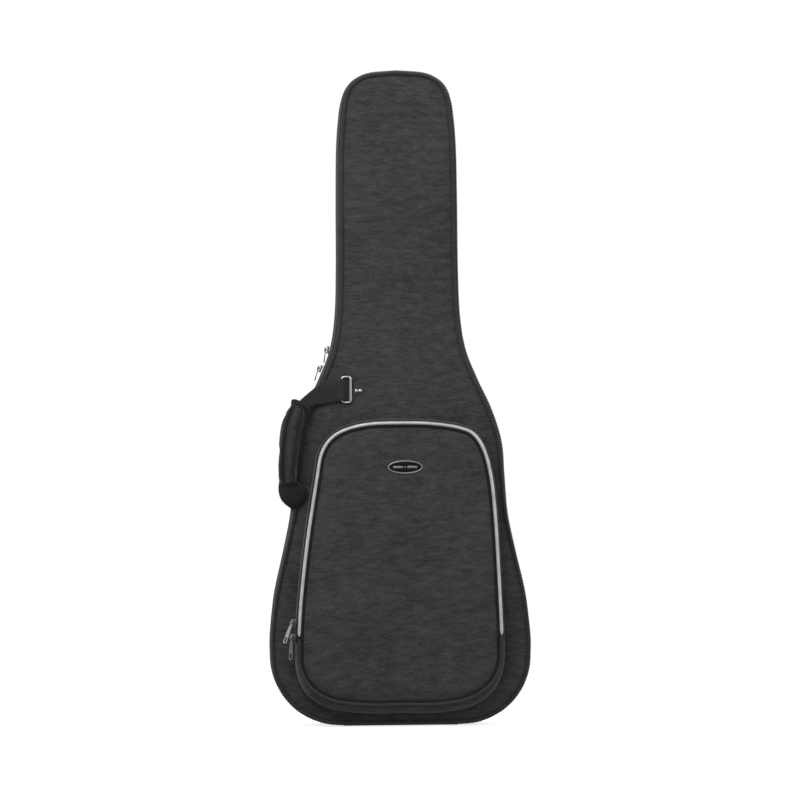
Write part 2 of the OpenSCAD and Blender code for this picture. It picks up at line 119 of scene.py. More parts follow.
class Shader:
    """A Principled material under construction, with short calls for its nodes."""

    def __init__(self, name, **sockets):
        mat = MATS[name] = bpy.data.materials.new(name)
        mat.use_nodes = True
        self.tree = mat.node_tree
        self.set(**sockets)
        self.place = self.node("TexCoord").outputs["Object"]

    def set(self, **sockets):
        """Links or sets the surface's own sockets, with _ for a space in their names."""
        feed(self.tree, self.tree.nodes["Principled BSDF"],
             {key.replace("_", " "): value for key, value in sockets.items()})

    def node(self, kind, sockets=(), **settings):
        node = self.tree.nodes.new("ShaderNode" + kind)
        for key, value in settings.items():
            setattr(node, key, value)
        feed(self.tree, node, dict(sockets))
        return node

    def scaled(self, x, y, z):
        return self.node("Mapping", {"Vector": self.place, "Scale": (x, y, z)}).outputs["Vector"]

    def noise(self, per_m, detail=2.0, rough=0.5):
        """Noise with so many features to the metre: one number, or one for each axis."""
        scale = per_m if isinstance(per_m, tuple) else (per_m, per_m, per_m)
        return self.node("TexNoise", {"Vector": self.scaled(*scale), "Scale": 1.0, "Detail": detail,
                                      "Roughness": rough}).outputs["Fac"]

    def wave(self, vector, per_m, way, distortion=0.0):
        sockets = {"Vector": vector, "Scale": per_m, "Distortion": distortion, "Detail": 1.0}
        return self.node("TexWave", sockets, wave_type="BANDS", bands_direction=way).outputs["Fac"]

    def remap(self, value, a, b, c=0.0, d=1.0):
        return self.node("MapRange", {0: value, "From Min": a, "From Max": b, "To Min": c,
                                      "To Max": d}).outputs["Result"]

    def math(self, operation, a, b):
        return self.node("Math", {0: a, 1: b}, operation=operation).outputs["Value"]

    def total(self, first, *others):
        for other in others:
            first = self.math("ADD", first, other)
        return first

    def mix(self, fac, a, b):
        return self.node("Mix", {0: fac, 6: a, 7: b}, data_type="RGBA").outputs[2]

    def bump(self, *layers):
        """Each layer is (height socket, depth in millimetres)."""
        normal = {}
        for level, depth in layers:
            node = self.node("Bump", {"Height": level, "Distance": depth * MM, "Strength": 1.0, **normal})
            normal = {"Normal": node.outputs["Normal"]}
        self.set(**normal)

    def weave(self, pitch):
        """Over-and-under threads: 0 to 1, from two crossing waves."""
        across = self.wave(self.scaled(1.0, 1.0, 0.0), 0.6 / (pitch * MM), "DIAGONAL")
        return self.math("MULTIPLY", across, self.wave(self.place, 0.314 / (pitch * MM), "Z"))


def gray(v, tint=(1.0, 1.0, 1.0)):
    return (v * tint[0], v * tint[1], v * tint[2], 1.0)


def cloth(name, dark, light, slub=0.5, grain=0.5, pitch=1.1, rough=0.88, soft=0.5):
    """Woven polyester with horizontal slubs, a fine grain and broad soft unevenness."""
    s = Shader(name, Roughness=rough, Sheen_Weight=0.16, Sheen_Roughness=0.45, Specular_IOR_Level=0.25)
    streak = s.noise((85.0, 85.0, 380.0), 3.0, 0.62)
    patches = s.noise((38.0, 38.0, 105.0), 3.0, 0.6)
    fine = s.noise((420.0, 420.0, 1000.0), 2.0, 0.6)
    broad = s.noise((7.0, 7.0, 9.0))
    amount = s.total(s.remap(streak, 0.34, 0.68, 0.0, slub), s.remap(fine, 0.3, 0.7, 0.0, grain),
                     s.remap(patches, 0.32, 0.68, -slub / 2, slub / 2), s.remap(broad, 0.35, 0.65, -0.1, 0.1))
    s.set(Base_Color=s.mix(amount, gray(dark, CHARCOAL), gray(light, CHARCOAL)),
          Roughness=s.remap(fine, 0.2, 0.8, rough - 0.08, rough + 0.06))
    s.bump((s.noise((22.0, 22.0, 26.0)), soft), (streak, 0.22), (s.weave(pitch), 0.16), (fine, 0.12))


def ribbed(name, dark, light, pitch=1.6, rough=0.7, sheen=0.1, depth=0.3, highlight_tone=None):
    """Webbing, tape, thread and sleeve cloth: ribs in one direction, lighter in random worn patches.

    highlight_tone is the colour of a painted highlight down a crest, which the mesh attribute
    painted_highlight places.
    """
    s = Shader(name, Roughness=rough, Sheen_Weight=sheen, Sheen_Roughness=0.4, Specular_IOR_Level=0.3)
    ribs = s.wave(s.scaled(1.0, 1.0, 1.0), 0.544 / (pitch * MM), "DIAGONAL", 0.6)
    worn = s.noise(60.0, 3.0, 0.6)
    thread = s.noise(900.0, 1.0)
    amount = s.total(s.remap(ribs, 0.0, 1.0, 0.0, 0.35), s.remap(worn, 0.4, 0.7, 0.0, 0.4),
                     s.remap(thread, 0.3, 0.7, 0.0, 0.3))
    shade = s.mix(amount, gray(dark), gray(light))
    if highlight_tone:
        # painted highlight: a paler band where the mesh attribute marks the front crest
        painted_highlight = s.node("Attribute", attribute_name="painted_highlight").outputs["Fac"]
        shade = s.mix(s.math("MULTIPLY", painted_highlight, s.remap(worn, 0.3, 0.7, 0.6, 1.0)), shade, gray(highlight_tone))
    s.set(Base_Color=shade, Roughness=s.remap(worn, 0.3, 0.7, rough + 0.08, rough - 0.08))
    s.bump((ribs, depth), (thread, 0.12))


def plush(name, dark, light):
    """Short pile: cloudy brushed patches over a fine fuzz, with a strong sheen."""
    s = Shader(name, Roughness=0.95, Sheen_Weight=0.55, Sheen_Roughness=0.35, Specular_IOR_Level=0.1)
    cloud = s.noise((16.0, 16.0, 11.0), 4.0, 0.6)
    fuzz = s.noise(900.0, 2.0, 0.6)
    amount = s.total(s.remap(cloud, 0.30, 0.70, 0.0, 0.45), s.remap(fuzz, 0.3, 0.7, 0.0, 0.5))
    s.set(Base_Color=s.mix(amount, gray(dark, PILE), gray(light, PILE)))
    s.bump((cloud, 0.9), (fuzz, 0.5))


def metal(name, level, rough, wear=0.08):
    """Plated metal with faint scuffs and a slightly cloudy polish."""
    s = Shader(name, Metallic=1.0, Roughness=rough)
    cloud = s.noise(90.0, 3.0, 0.6)
    scuff = s.noise((260.0, 260.0, 1500.0))
    dull = gray(level * (1.0 - wear * 2), STEEL)
    s.set(Base_Color=s.mix(s.remap(cloud, 0.35, 0.7), gray(level, STEEL), dull),
          Roughness=s.remap(scuff, 0.35, 0.7, rough, rough + wear))
    s.bump((scuff, 0.02))


def polymer(name, dark, light, rough, grain_deep=0.05, grain=1400.0, **sockets):
    """Moulded plastic or rubber with a fine spark-eroded grain and paler worn patches."""
    s = Shader(name, **{"Roughness": rough, "Specular_IOR_Level": 0.45, **sockets})
    spark = s.noise(grain)
    rub = s.noise(40.0, 3.0, 0.6)
    s.set(Base_Color=s.mix(s.remap(rub, 0.45, 0.75), gray(dark), gray(light)),
          Roughness=s.remap(rub, 0.4, 0.7, rough, rough + 0.12))
    s.bump((spark, grain_deep))


def beads(name, pale, dull):
    """Reflective piping tape: pale silver, satin, with a fine bead texture and faint creases."""
    s = Shader(name, Metallic=0.35, Roughness=0.38, Specular_IOR_Level=0.6)
    bead = s.noise(2200.0, 1.0)
    crease = s.noise((30.0, 30.0, 70.0), 3.0, 0.6)
    s.set(Base_Color=s.mix(s.remap(crease, 0.4, 0.68), gray(pale), gray(dull)),
          Roughness=s.remap(crease, 0.35, 0.7, 0.34, 0.48))
    s.bump((crease, 0.3), (bead, 0.04))


cloth("cloth", 0.021, 0.062, slub=0.52)
cloth("gusset_cloth", 0.021, 0.040, slub=0.35, rough=0.85)
cloth("dark_piping", 0.026, 0.044, slub=0.3, pitch=0.9, soft=0.2)
# near-black flange cloth: partly its own colour, partly painted shade for the recess round the pocket's cord
cloth("piping_flange_shade", 0.006, 0.015, slub=0.3, grain=0.4, pitch=0.9, soft=0.2)
cloth("strap_padding", 0.018, 0.034, slub=0.3, rough=0.85)
plush("plush", 0.040, 0.085)
beads("reflective_piping", 0.60, 0.46)
ribbed("zip_tape", 0.009, 0.018, 1.1, 0.75)
ribbed("webbing", 0.012, 0.026, 2.2, 0.62, 0.12)
# the grip sleeve: a very dark base with a painted highlight down its middle
ribbed("grip_sleeve", 0.005, 0.013, 1.6, 0.5, 0.25, highlight_tone=0.040)
ribbed("thread", 0.020, 0.040, 0.6, 0.6, 0.2, 0.1)
ribbed("thread_pale", 0.035, 0.065, 0.6, 0.6, 0.2, 0.1)
polymer("rubber", 0.014, 0.030, 0.72, 0.12, 700.0)
polymer("moulded_plastic", 0.009, 0.016, 0.38, 0.03)
polymer("badge_enamel", 0.003, 0.006, 0.55, 0.02, Specular_IOR_Level=0.12)
polymer("floor", 0.78, 0.80, 0.9, 0.05, 60.0, Emission_Color=(1.0, 1.0, 1.0, 1.0), Emission_Strength=0.75)
metal("badge_metal", 0.27, 0.38)
metal("polished_metal", 0.55, 0.26)
metal("zip_metal", 0.27, 0.32)


# ---------------------------------------------------------------- mesh helpers
def lofted(rings, loop=False):
    """The points and faces of closed rings joined one after another, capped unless they make a loop."""
    rings = np.asarray(rings, float)
    n, m = rings.shape[:2]
    faces = [(i * m + j, i * m + (j + 1) % m, (i + 1) % n * m + (j + 1) % m, (i + 1) % n * m + j)
             for i in range(n if loop else n - 1) for j in range(m)]
    if not loop:
        faces += [tuple(range(m - 1, -1, -1)), tuple(range((n - 1) * m, n * m))]
    return rings.reshape(-1, 3), faces


def built(name, solids, mat, loop=False, sharp=40.0):
    """An object of one or more solids, each a list of rings or a (points, faces) pair."""
    points, faces, at = [], [], 0
    for solid in solids:
        own_points, own_faces = solid if isinstance(solid, tuple) else lofted(solid, loop)
        points.append(own_points)
        faces += [tuple(i + at for i in face) for face in own_faces]
        at += len(own_points)
    mesh = bpy.data.meshes.new(name)
    mesh.from_pydata((np.vstack(points) * MM).tolist(), [], faces)
    bm = bmesh.new()
    bm.from_mesh(mesh)
    bmesh.ops.recalc_face_normals(bm, faces=bm.faces)
    bm.to_mesh(mesh)
    bm.free()
    mesh.materials.append(MATS[mat])
    mesh.shade_smooth()
    mesh.set_sharp_from_angle(angle=math.radians(sharp))
    obj = bpy.data.objects.new(name, mesh)
    scene.collection.objects.link(obj)
    return obj


def declared(obj, slot, body, *nodes, fill=None):
    """Hides the CAD nodes that a piece stands for and attaches it to its body; slot and fill are not used."""
    if nodes:
        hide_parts(*nodes)
    if body:
        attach(obj, body)
    return obj


def piece(name, solids, slot, body, *nodes, mat=None, fill=None, loop=False, sharp=40.0):
    """A finished piece; its material is its slot's, unless mat names another."""
    return declared(built(name, solids, mat or slot, loop, sharp), slot, body, *nodes, fill=fill)


def unit(v):
    v = np.asarray(v, float)
    return v / np.maximum(np.linalg.norm(v, axis=-1, keepdims=True), 1e-12)


def curve(knots, per):
    """Points on a smooth curve through the knots, the last knot left out."""
    k = np.asarray(knots, float)
    t = np.empty_like(k)
    t[1:-1] = (k[2:] - k[:-2]) / 2
    t[0], t[-1] = k[1] - k[0], k[-1] - k[-2]
    s = (np.arange(per) / per)[:, None]
    return np.vstack([
        (a * (1 + 2 * s) + ta * s) * (1 - s) ** 2 + b * s * s * (3 - 2 * s) + tb * s * s * (s - 1)
        for a, b, ta, tb in zip(k[:-1], k[1:], t[:-1], t[1:])])


def smooth(knots, per):
    return np.vstack([curve(knots, per), np.asarray(knots, float)[-1:]])


def run_of(points):
    """The distance run at each point of a line."""
    return np.concatenate([[0.0], np.cumsum(np.linalg.norm(np.diff(points, axis=0), axis=1))])


def sampled(points, run, s):
    return np.stack([np.interp(s, run, column) for column in np.asarray(points).T], axis=-1)


def resample(points, step, closed=True):
    p = np.asarray(points, float)
    if closed:
        p = np.vstack([p, p[:1]])
    run = run_of(p)
    out = sampled(p, run, np.linspace(0.0, run[-1], max(4, int(round(run[-1] / step))) + 1))
    return out[:-1] if closed else out


def both_sides(half):
    """A line of (x, z) points and its mirror image, back to the start."""
    return [*half, *((-x, z) for x, z in half[::-1])]


def circle(n):
    a = np.arange(n) * 2 * math.pi / n
    return np.cos(a), np.sin(a)


def arc(x, z, r, start, end, n):
    """n points on an arc between two angles in degrees."""
    a = np.radians(np.linspace(start, end, n))
    return np.stack([x + r * np.cos(a), z + r * np.sin(a)], axis=1)


def rounded_loop(x0, x1, z0, z1, r, left_r=None, n=7):
    """A rectangle with rounded corners, which may be rounder at its left."""
    q = left_r or r
    return np.vstack([arc(x1 - r, z1 - r, r, 0, 90, n), arc(x0 + q, z1 - q, q, 90, 180, n),
                      arc(x0 + q, z0 + q, q, 180, 270, n), arc(x1 - r, z0 + r, r, 270, 360, n)])


def at_depth(xz, y):
    """Points in X and Z, placed at one depth or at one for each."""
    return np.stack([xz[:, 0], np.broadcast_to(y, len(xz)), xz[:, 1]], axis=1)


def oval(x, z, a, b, y, n):
    c, s = circle(n)
    return at_depth(np.stack([x + a * c, z + b * s], axis=1), y)


class Outline:
    """A line in X and Z with its outward normals; d is a distance inwards from it."""

    def __init__(self, points, closed=True):
        self.p, self.closed = np.asarray(points, float), closed
        if closed:
            t = unit(np.roll(self.p, -1, 0) - np.roll(self.p, 1, 0))
        else:
            t = unit(np.gradient(self.p, axis=0))
        self.n = np.stack([t[:, 1], -t[:, 0]], axis=1)
        self.run = run_of(self.p)

    def inset(self, d):
        return self.p - np.broadcast_to(d, len(self.p))[:, None] * self.n

    def rings(self, profile):
        """Carries a profile of (d, y) points, or one profile for each station, along the line."""
        prof = np.asarray(profile, float)
        if prof.ndim == 2:
            prof = np.broadcast_to(prof, (len(self.p), *prof.shape))
        xz = self.p[:, None, :] - prof[..., :1] * self.n[:, None, :]
        return np.stack([xz[..., 0], prof[..., 1], xz[..., 1]], axis=-1)

    def part(self, keep):
        """The stations for which keep is true, as one open line."""
        shift = int(np.nonzero(~keep)[0][-1]) + 1 if self.closed and keep[0] and keep[-1] else 0
        keep = np.roll(keep, -shift)
        line = Outline(np.roll(self.p, -shift, 0)[keep], closed=False)
        line.n = np.roll(self.n, -shift, 0)[keep]
        return line


def round_profile(d, y, r, n=14):
    c, s = circle(n)
    return np.stack([d + r * c, y + r * s], axis=1)


def distance_to(points, loop):
    """Least distance from each point to a closed line."""
    a, b = np.asarray(loop), np.roll(loop, -1, 0)
    ab = b - a
    length2 = np.maximum((ab ** 2).sum(1), 1e-9)
    out = np.empty(len(points))
    batch = 400
    for i in range(0, len(points), batch):
        p = points[i:i + batch, None, :]
        t = np.clip(((p - a) * ab).sum(2) / length2, 0, 1)
        out[i:i + batch] = np.sqrt((((a + t[..., None] * ab) - p) ** 2).sum(2)).min(1)
    return out


def inside(points, loop):
    x, z = points.T
    result = np.zeros(len(points), bool)
    for (ax, az), (bx, bz) in zip(loop, np.roll(loop, -1, 0)):
        crosses = (az > z) != (bz > z)
        result ^= crosses & (x < (bx - ax) * (z - az) / (bz - az + 1e-15) + ax)
    return result


def triangulated(points, n):
    """Fills the closed line of the first n points, with the rest inside it, and keeps the points' order."""
    made = delaunay_2d_cdt([Vector(p) for p in points.tolist()], [(i, (i + 1) % n) for i in range(n)],
                           [list(range(n))], 1, 1e-6)
    back = np.argsort([origin[0] if origin else -1 for origin in made[3]])
    rank = np.argsort(back)
    return np.array([tuple(v) for v in made[0]])[back], [tuple(int(rank[i]) for i in f) for f in made[2]]


def sheet_grid(edge, step, rows=(), row_step=6.0, row_gap=4.0):
    """Evenly spread points inside a closed line, with closer rows where the sheet folds."""
    (x0, z0), (x1, z1) = edge.min(0), edge.max(0)
    points = []
    for i, z in enumerate(np.arange(z0 + step * 0.3, z1, step * 0.866)):
        if not (len(rows) and rows[0] - row_gap < z < rows[-1] + row_gap):
            points += [(x, z) for x in np.arange(x0 + (i % 2) * step / 2, x1, step)]
    points += [(x, z) for z in rows for x in np.arange(x0, x1, row_step)]
    points = np.array(points)
    points = points[inside(points, edge)]
    return points[distance_to(points, edge) > step * 0.55]


def pad_sheet(name, edge, step, face_y, back_y, mat, rows=()):
    """A closed pad: a crowned face with depth face_y(points), a flat back at back_y, and a rim between."""
    n = len(edge)
    points, faces = triangulated(np.vstack([edge, sheet_grid(edge, step, rows)]), n)
    back_points, back_faces = triangulated(edge, n)
    at = len(points)
    faces += [tuple(at + i for i in reversed(f)) for f in back_faces]
    faces += [(i, (i + 1) % n, at + (i + 1) % n, at + i) for i in range(n)]
    both = np.vstack([at_depth(points, face_y(points)), at_depth(back_points, back_y)])
    obj = built(name, [(both, faces)], mat, sharp=50.0)
    obj["face_points"] = at
    return obj


def coords(mesh):
    """A mesh's points in metres."""
    co = np.empty(len(mesh.vertices) * 3)
    mesh.vertices.foreach_get("co", co)
    return co.reshape(-1, 3)


def puff(obj, held, pressure, cap, grow):
    """Lets a pad's cloth swell under a little pressure, its held points fixed, and keeps the shape."""
    mesh, frames, stiff = obj.data, 10, 12.0
    rest = coords(mesh)
    group = obj.vertex_groups.new(name="held")
    group.add([int(i) for i in np.nonzero(held)[0]], 1.0, "REPLACE")
    modifier = obj.modifiers.new("cloth", "CLOTH")
    s = modifier.settings
    s.quality = 5
    s.mass = 0.3
    s.tension_stiffness = s.compression_stiffness = stiff
    s.shear_stiffness = stiff / 2
    s.bending_stiffness = 0.4
    s.air_damping = 3.0
    s.use_pressure = True
    s.uniform_pressure_force = pressure
    s.vertex_group_mass = "held"
    s.shrink_min = -grow
    s.effector_weights.gravity = 0.0
    modifier.collision_settings.use_collision = False
    modifier.point_cache.frame_start, modifier.point_cache.frame_end = 1, frames
    for f in range(1, frames + 1):
        scene.frame_set(f)
    solved = obj.evaluated_get(bpy.context.evaluated_depsgraph_get())
    step = coords(solved.to_mesh()) - rest
    solved.to_mesh_clear()
    obj.modifiers.remove(modifier)
    obj.vertex_groups.clear()
    size = np.linalg.norm(step, axis=1, keepdims=True)
    step *= np.where(size > 1e-9, cap * MM * np.tanh(size / (cap * MM)) / np.maximum(size, 1e-9), 0.0)
    step[held] = 0.0
    mesh.vertices.foreach_set("co", (rest + step).ravel())
    mesh.update()
    scene.frame_set(1)


def puffed_pad(name, edge, seam, step, face_y, back_y, cap, grow, rows=()):
    """A panel over foam, whose cloth swells inside its seam."""
    obj = pad_sheet(name, edge, step, face_y, back_y, "cloth", rows)
    held = np.ones(len(obj.data.vertices), bool)
    n = obj["face_points"]
    held[:n] = distance_to(coords(obj.data)[:n, [0, 2]] / MM, seam) < 1.0
    puff(obj, held, 3.0, cap, grow)
    return obj


def surface_of(pad):
    """A function that gives the depth of a pad's face at (x, z), from its nearest points."""
    face = coords(pad.data)[:pad["face_points"]] / MM

    def depth(x, z):
        gap = np.hypot(face[:, 0] - x, face[:, 2] - z)
        near = np.argsort(gap)[:4]
        w = 1 / (gap[near] + 0.5)
        return float((face[near, 1] * w).sum() / w.sum())
    return depth


def tube(line, r, n=10):
    """Rings of a round bar along a line in space; r is one radius or one for each point."""
    p = np.asarray(line, float)
    t = unit(np.gradient(p, axis=0))
    side = np.cross(t[0], [0.0, 0.0, 1.0])
    if np.linalg.norm(side) < 0.1:
        side = np.cross(t[0], [0.0, 1.0, 0.0])
    sides = []
    for tangent in t:
        side = unit(side - tangent * (side @ tangent))
        sides.append(side)
    sides = np.array(sides)[:, None]
    ups = np.cross(t, sides[:, 0])[:, None]
    c, s = circle(n)
    turn = c[None, :, None] * sides + s[None, :, None] * ups
    return p[:, None] + np.broadcast_to(r, len(p))[:, None, None] * turn


def band(width, thick, ribs=0, depth=0.0):
    """Cross-section of flat webbing as (across, through) points, with woven ribs and soft edges."""
    u = np.linspace(-1, 1, max(8, ribs * 6) + 1)
    half = thick / 2 * np.sqrt(np.clip(1 - np.abs(u) ** 14, 0.12, 1)) + depth * np.cos(np.pi * ribs * (u + 1))
    across = u * width / 2
    return np.vstack([np.stack([across, half], axis=1), np.stack([-across, -half[::-1]], axis=1)])


def ribbon(line, across, profile):
    """Rings of a flat band along a line; across is its width direction at each point."""
    p = np.asarray(line, float)
    t = unit(np.gradient(p, axis=0))
    w = np.broadcast_to(np.asarray(across, float), p.shape)
    w = unit(w - t * (w * t).sum(1)[:, None])
    prof = np.broadcast_to(profile, (len(p), *np.shape(profile)[-2:]))
    return p[:, None] + prof[..., :1] * w[:, None] + prof[..., 1:] * np.cross(t, w)[:, None]


def strap(name, knots, per, across, profile, body, *nodes):
    """Webbing along a smooth line through the knots."""
    return piece(name, [ribbon(smooth(knots, per), across, profile)], "webbing", body, *nodes, sharp=60)


def stitches(line, normal, length, gap, r, lift=0.15):
    """Short raised threads along a line, one solid each."""
    p = np.asarray(line, float)
    run = run_of(p)
    nrm = np.broadcast_to(np.asarray(normal, float), p.shape)
    out = []
    at = gap / 2
    while at + length < run[-1]:
        s = at + length * np.array([0.0, 0.3, 0.7, 1.0])
        rise = np.array([-r * 0.8, lift, lift, -r * 0.8])[:, None]
        out.append(tube(sampled(p, run, s) + sampled(nrm, run, s) * rise, r, 5))
        at += length + gap
    return out


def box_stitches(corners, normal, length, gap, r):
    """A sewn box with a cross in it."""
    a, b, c, d = corners
    legs = (a, b), (b, c), (c, d), (d, a), (a, c), (b, d)
    return [thread for leg in legs for thread in stitches(leg, normal, length, gap, r)]


def sewing(name, threads, body, mat="thread"):
    return piece(name, threads, "webbing", body, mat=mat)


def block(size, bevel, segments, at=(0.0, 0.0, 0.0)):
    """A block with rounded edges."""
    bm = bmesh.new()
    bmesh.ops.create_cube(bm, size=1.0)
    bmesh.ops.scale(bm, vec=Vector(size), verts=bm.verts)
    bmesh.ops.bevel(bm, geom=bm.edges[:], offset=bevel, segments=segments, affect="EDGES", profile=0.7)
    points = np.array([tuple(v.co) for v in bm.verts]) + at
    faces = [tuple(v.index for v in f.verts) for f in bm.faces]
    bm.free()
    return points, faces


def moved_by(matrix, part):
    m = np.array(matrix)
    return np.asarray(part[0]) @ m[:3, :3].T + m[:3, 3], part[1]


def wobble(points, size, seed):
    """Smooth noise from -1 to 1 at each point, with features about size wide."""
    return np.array([noise.noise(Vector((p[0] / size, p[1] / size, seed))) for p in points])


def flat_step(a, b, v):
    """0 up to a, 1 from b, and a smooth rise between."""
    t = np.clip((v - a) / (b - a), 0, 1)
    return t * t * (3 - 2 * t)


# ---------------------------------------------------------------- the outlines, as in the CAD
BAG_H, GUARD_T = 1070.0, 2.0
CORNER_X, CORNER_R, BASE_HALF = 100.5, 112.0, 99.5
SIDE = [
    (212.5, 112), (212.8, 140), (209.5, 178), (203.5, 221), (188.5, 287), (177, 345), (172.3, 405),
    (168, 462), (151.5, 516), (129, 565), (110, 614), (101.2, 672), (98.7, 750), (98.2, 850), (97, 940),
    (93.5, 992), (88.5, 1024), (79.5, 1045), (64, 1058.5), (42, 1066.5), (0, 1070),
]
POCKET = [
    (0, 22), (60, 22), (112, 31), (147, 54), (165, 90), (168.5, 140), (166.5, 205), (163.5, 270), (160, 335),
    (154, 400), (143, 448), (124, 479), (96, 492), (50, 499), (4, 500.5), (-50, 499), (-90, 490), (-117, 474),
    (-134, 447), (-142, 405), (-148.5, 365), (-157, 310), (-164.5, 250), (-170, 195), (-173, 140), (-171, 90),
    (-153, 52), (-116, 30), (-60, 22),
]
FOLD_Z, SILVER_Z = 140.0, 147.0                          # where the pocket folds and its silver cord ends
PER_KNOT = 12

corner = arc(CORNER_X, CORNER_R, CORNER_R, -90, 0, 41)[:-1]
right = np.vstack([[(0.0, 0.0)], corner, curve(SIDE, PER_KNOT)])
case_line = np.vstack([right, [(0.0, BAG_H)], (right * [-1.0, 1.0])[:0:-1]])
case_line[:, 1] = GUARD_T + case_line[:, 1] * (BAG_H - GUARD_T) / BAG_H
CASE = Outline(resample(case_line, 4.2))
CASE_OPEN = CASE.part((np.abs(CASE.p[:, 0]) >= BASE_HALF + 0.5) | (CASE.p[:, 1] >= 10))

pocket_line = curve([POCKET[-1], *POCKET, *POCKET[:2]], PER_KNOT)[PER_KNOT:-PER_KNOT]
LOOP = Outline(resample(pocket_line, 3.6))
above = LOOP.p[:, 1] > FOLD_Z
loop_upper, loop_lower = LOOP.part(above), LOOP.part(~above)
loop_wall = LOOP.part(above | np.roll(above, 1) | np.roll(above, -1))      # meets loop_lower at both ends


def pipe_inset(z):
    """How far the pocket's cord lies inside its foot: more at the bottom, where the cloth rounds under."""
    return 6.2 + 9.5 * (1 - flat_step(24, 112, z))


def seam_inset(z):
    """How far the panel seam lies inside the silhouette: least round the lower bout, most along the neck."""
    return 6.9 + 3.1 * flat_step(230, 560, z) - 1.4 * flat_step(1000, 1060, z)


# ---------------------------------------------------------------- front and back pads
SEAM = seam_inset(CASE.p[:, 1])
SEAM_LINE = CASE.inset(SEAM)


def case_pad(name, sign, dome_z, dome_half, dome, body, *nodes):
    """A front (sign -1) or back (+1) panel: a tight roll at the seam, then a shallow swell."""
    def depth(points):
        d = distance_to(points, SEAM_LINE)
        roll = 50.2 + 3.5 * (1 - np.exp(-d / 2.6))
        swell = dome * np.clip(d / 70, 0, 1) * np.exp(-((points[:, 1] - dome_z) / dome_half) ** 2)
        return sign * (roll + swell + 0.35 * wobble(points, 70, 1.7 + sign) * np.clip(d / 25, 0, 1))

    edge = resample(SEAM_LINE, 5.2)
    pad = puffed_pad(name, edge, SEAM_LINE, 7.5, depth, sign * 44.0, 2.2, 0.004)
    return declared(pad, "cloth", body, *nodes, fill=0.7)


front_surface = surface_of(case_pad("front_pad", -1, 900, 260, 1.2, LID, "front_panel", "front_foam"))
back_surface = surface_of(case_pad("back_pad", 1, 330, 380, 2.4, REAR, "back_panel", "back_foam"))

# ---------------------------------------------------------------- piping, side walls and zip
WELT_R, WELT_OUT, WELT_Y = 2.9, 3.1, 51.6
WALL = smooth([(5.4, 50.0), (3.2, 50.6), (1.6, 49.2), (0.7, 45.5), (0.2, 39), (0, 30), (0, 22), (0.3, 15.5),
               (0.8, 11.8), (1.5, 10.6), (2.4, 11.4), (2.6, 15), (2.6, 24), (2.6, 40), (4.2, 47.4)], 4)
TAPE = np.array([(1.1, 12.5), (1.2, 3.2), (2.0, 3.0), (2.0, 12.5)])
LINING_EDGE = smooth([(2.9, 3.4), (3.4, 1.8), (5.4, 0.95), (10, 0.8), (15.5, 0.9), (18.4, 1.7), (19.6, 3.8),
                      (20, 9), (20, 22), (19.8, 33.6), (18.2, 34.2), (18, 22), (17.6, 8), (16, 4.2), (12, 3),
                      (6, 3), (4.2, 3.9)], 3)
END_CAP = smooth([(2.2, 6), (4, 2.4), (10, 2.0), (16, 2.6), (18.4, 6), (18.6, 20), (18.4, 32), (16, 34),
                  (10, 34.4), (4, 34), (2.2, 32), (2.1, 20)], 3)
TOOTH_PITCH, TOOTH_START = 3.0, 2.0
TOOTH = ((0.45, 0.55, 0.75, 1.75), (0.8, 0.95, 0.35, 2.0), (2.6, 0.85, 0.35, 2.0), (3.3, 0.5, 0.9, 1.8))


def wall_rings(line, sign):
    """The side wall: swells a little between its seams, unevenly, as cloth over foam does."""
    puffs = wobble(line.p, 90, 9.0 + sign) * 0.45 + wobble(line.p, 24, 3.0 + sign) * 0.12
    prof = np.repeat(WALL[None], len(line.p), axis=0)
    prof[..., 0] += np.exp(-((prof[..., 1] - 31) / 11) ** 2) * (0.35 + puffs[:, None]) * 0.9
    return line.rings(prof * [1, sign])


def teeth(name, line, start, pitch, sections, body):
    """A zip's coil teeth; sections(run) gives a tooth's rings as (y, [(along, inset), ...])."""
    solids = []
    for at in np.arange(start, line.run[-1] - 1, pitch):
        x, z, nx, nz = (np.interp(at, line.run, column) for column in (*line.p.T, *line.n.T))
        solids.append([[(x - nx * d - nz * u, y, z - nz * d + nx * u) for u, d in ring]
                       for y, ring in sections(at)])
    piece(name, solids, "moulded_plastic", body, sharp=30)


def wall_stitches(line, sign, d, y):
    """Topstitching along a side wall."""
    return stitches(at_depth(line.inset(d), sign * y), at_depth(line.n, 0.0), 3.0, 1.6, 0.36)


BOTH_HALVES = (("front", -1, LID), ("rear", 1, REAR))
for side, sign, body in BOTH_HALVES:
    ripple = WELT_R + 0.16 * wobble(CASE.p, 14, 5.0 + sign)
    welt = [round_profile(d - WELT_OUT, sign * WELT_Y, r) for d, r in zip(SEAM, ripple)]
    piece(f"{side}_welt", [CASE.rings(welt)], "dark_piping", body, f"{side}_piping", loop=True)

for side, sign, body in BOTH_HALVES:
    piece(f"{side}_side_wall", [wall_rings(CASE_OPEN, sign)], "gusset_cloth", body, f"{side}_gusset",
          fill=0.8)
    piece(f"{side}_zip_tape_cloth", [CASE_OPEN.rings(TAPE * [1, sign])], "zip_tape", body, f"{side}_zip_tape")
    tooth = [(sign * y, [(-half, low + 0.3), (-half / 2, low), (half / 2, low), (half, low + 0.3),
                         (half, high), (-half, high)]) for y, half, low, high in TOOTH]
    teeth(f"{side}_zip_teeth", CASE_OPEN, TOOTH_START + (TOOTH_PITCH / 2 if sign > 0 else 0.0), TOOTH_PITCH,
          lambda run, tooth=tooth: tooth, body)
    piece(f"{side}_wall_lining", [CASE_OPEN.rings(LINING_EDGE * [1, sign])], "plush", body,
          f"{side}_gusset_lining", f"{side}_gusset_foam", fill=0.6)
    ends = CASE_OPEN.rings(END_CAP * [1, sign])
    piece(f"{side}_wall_end_caps", [ends[:4], ends[-4:]], "plush", body)
    sewing(f"{side}_wall_stitching",
           wall_stitches(CASE_OPEN, sign, -0.12, 15.2) + wall_stitches(CASE_OPEN, sign, 0.35, 44.6), body)

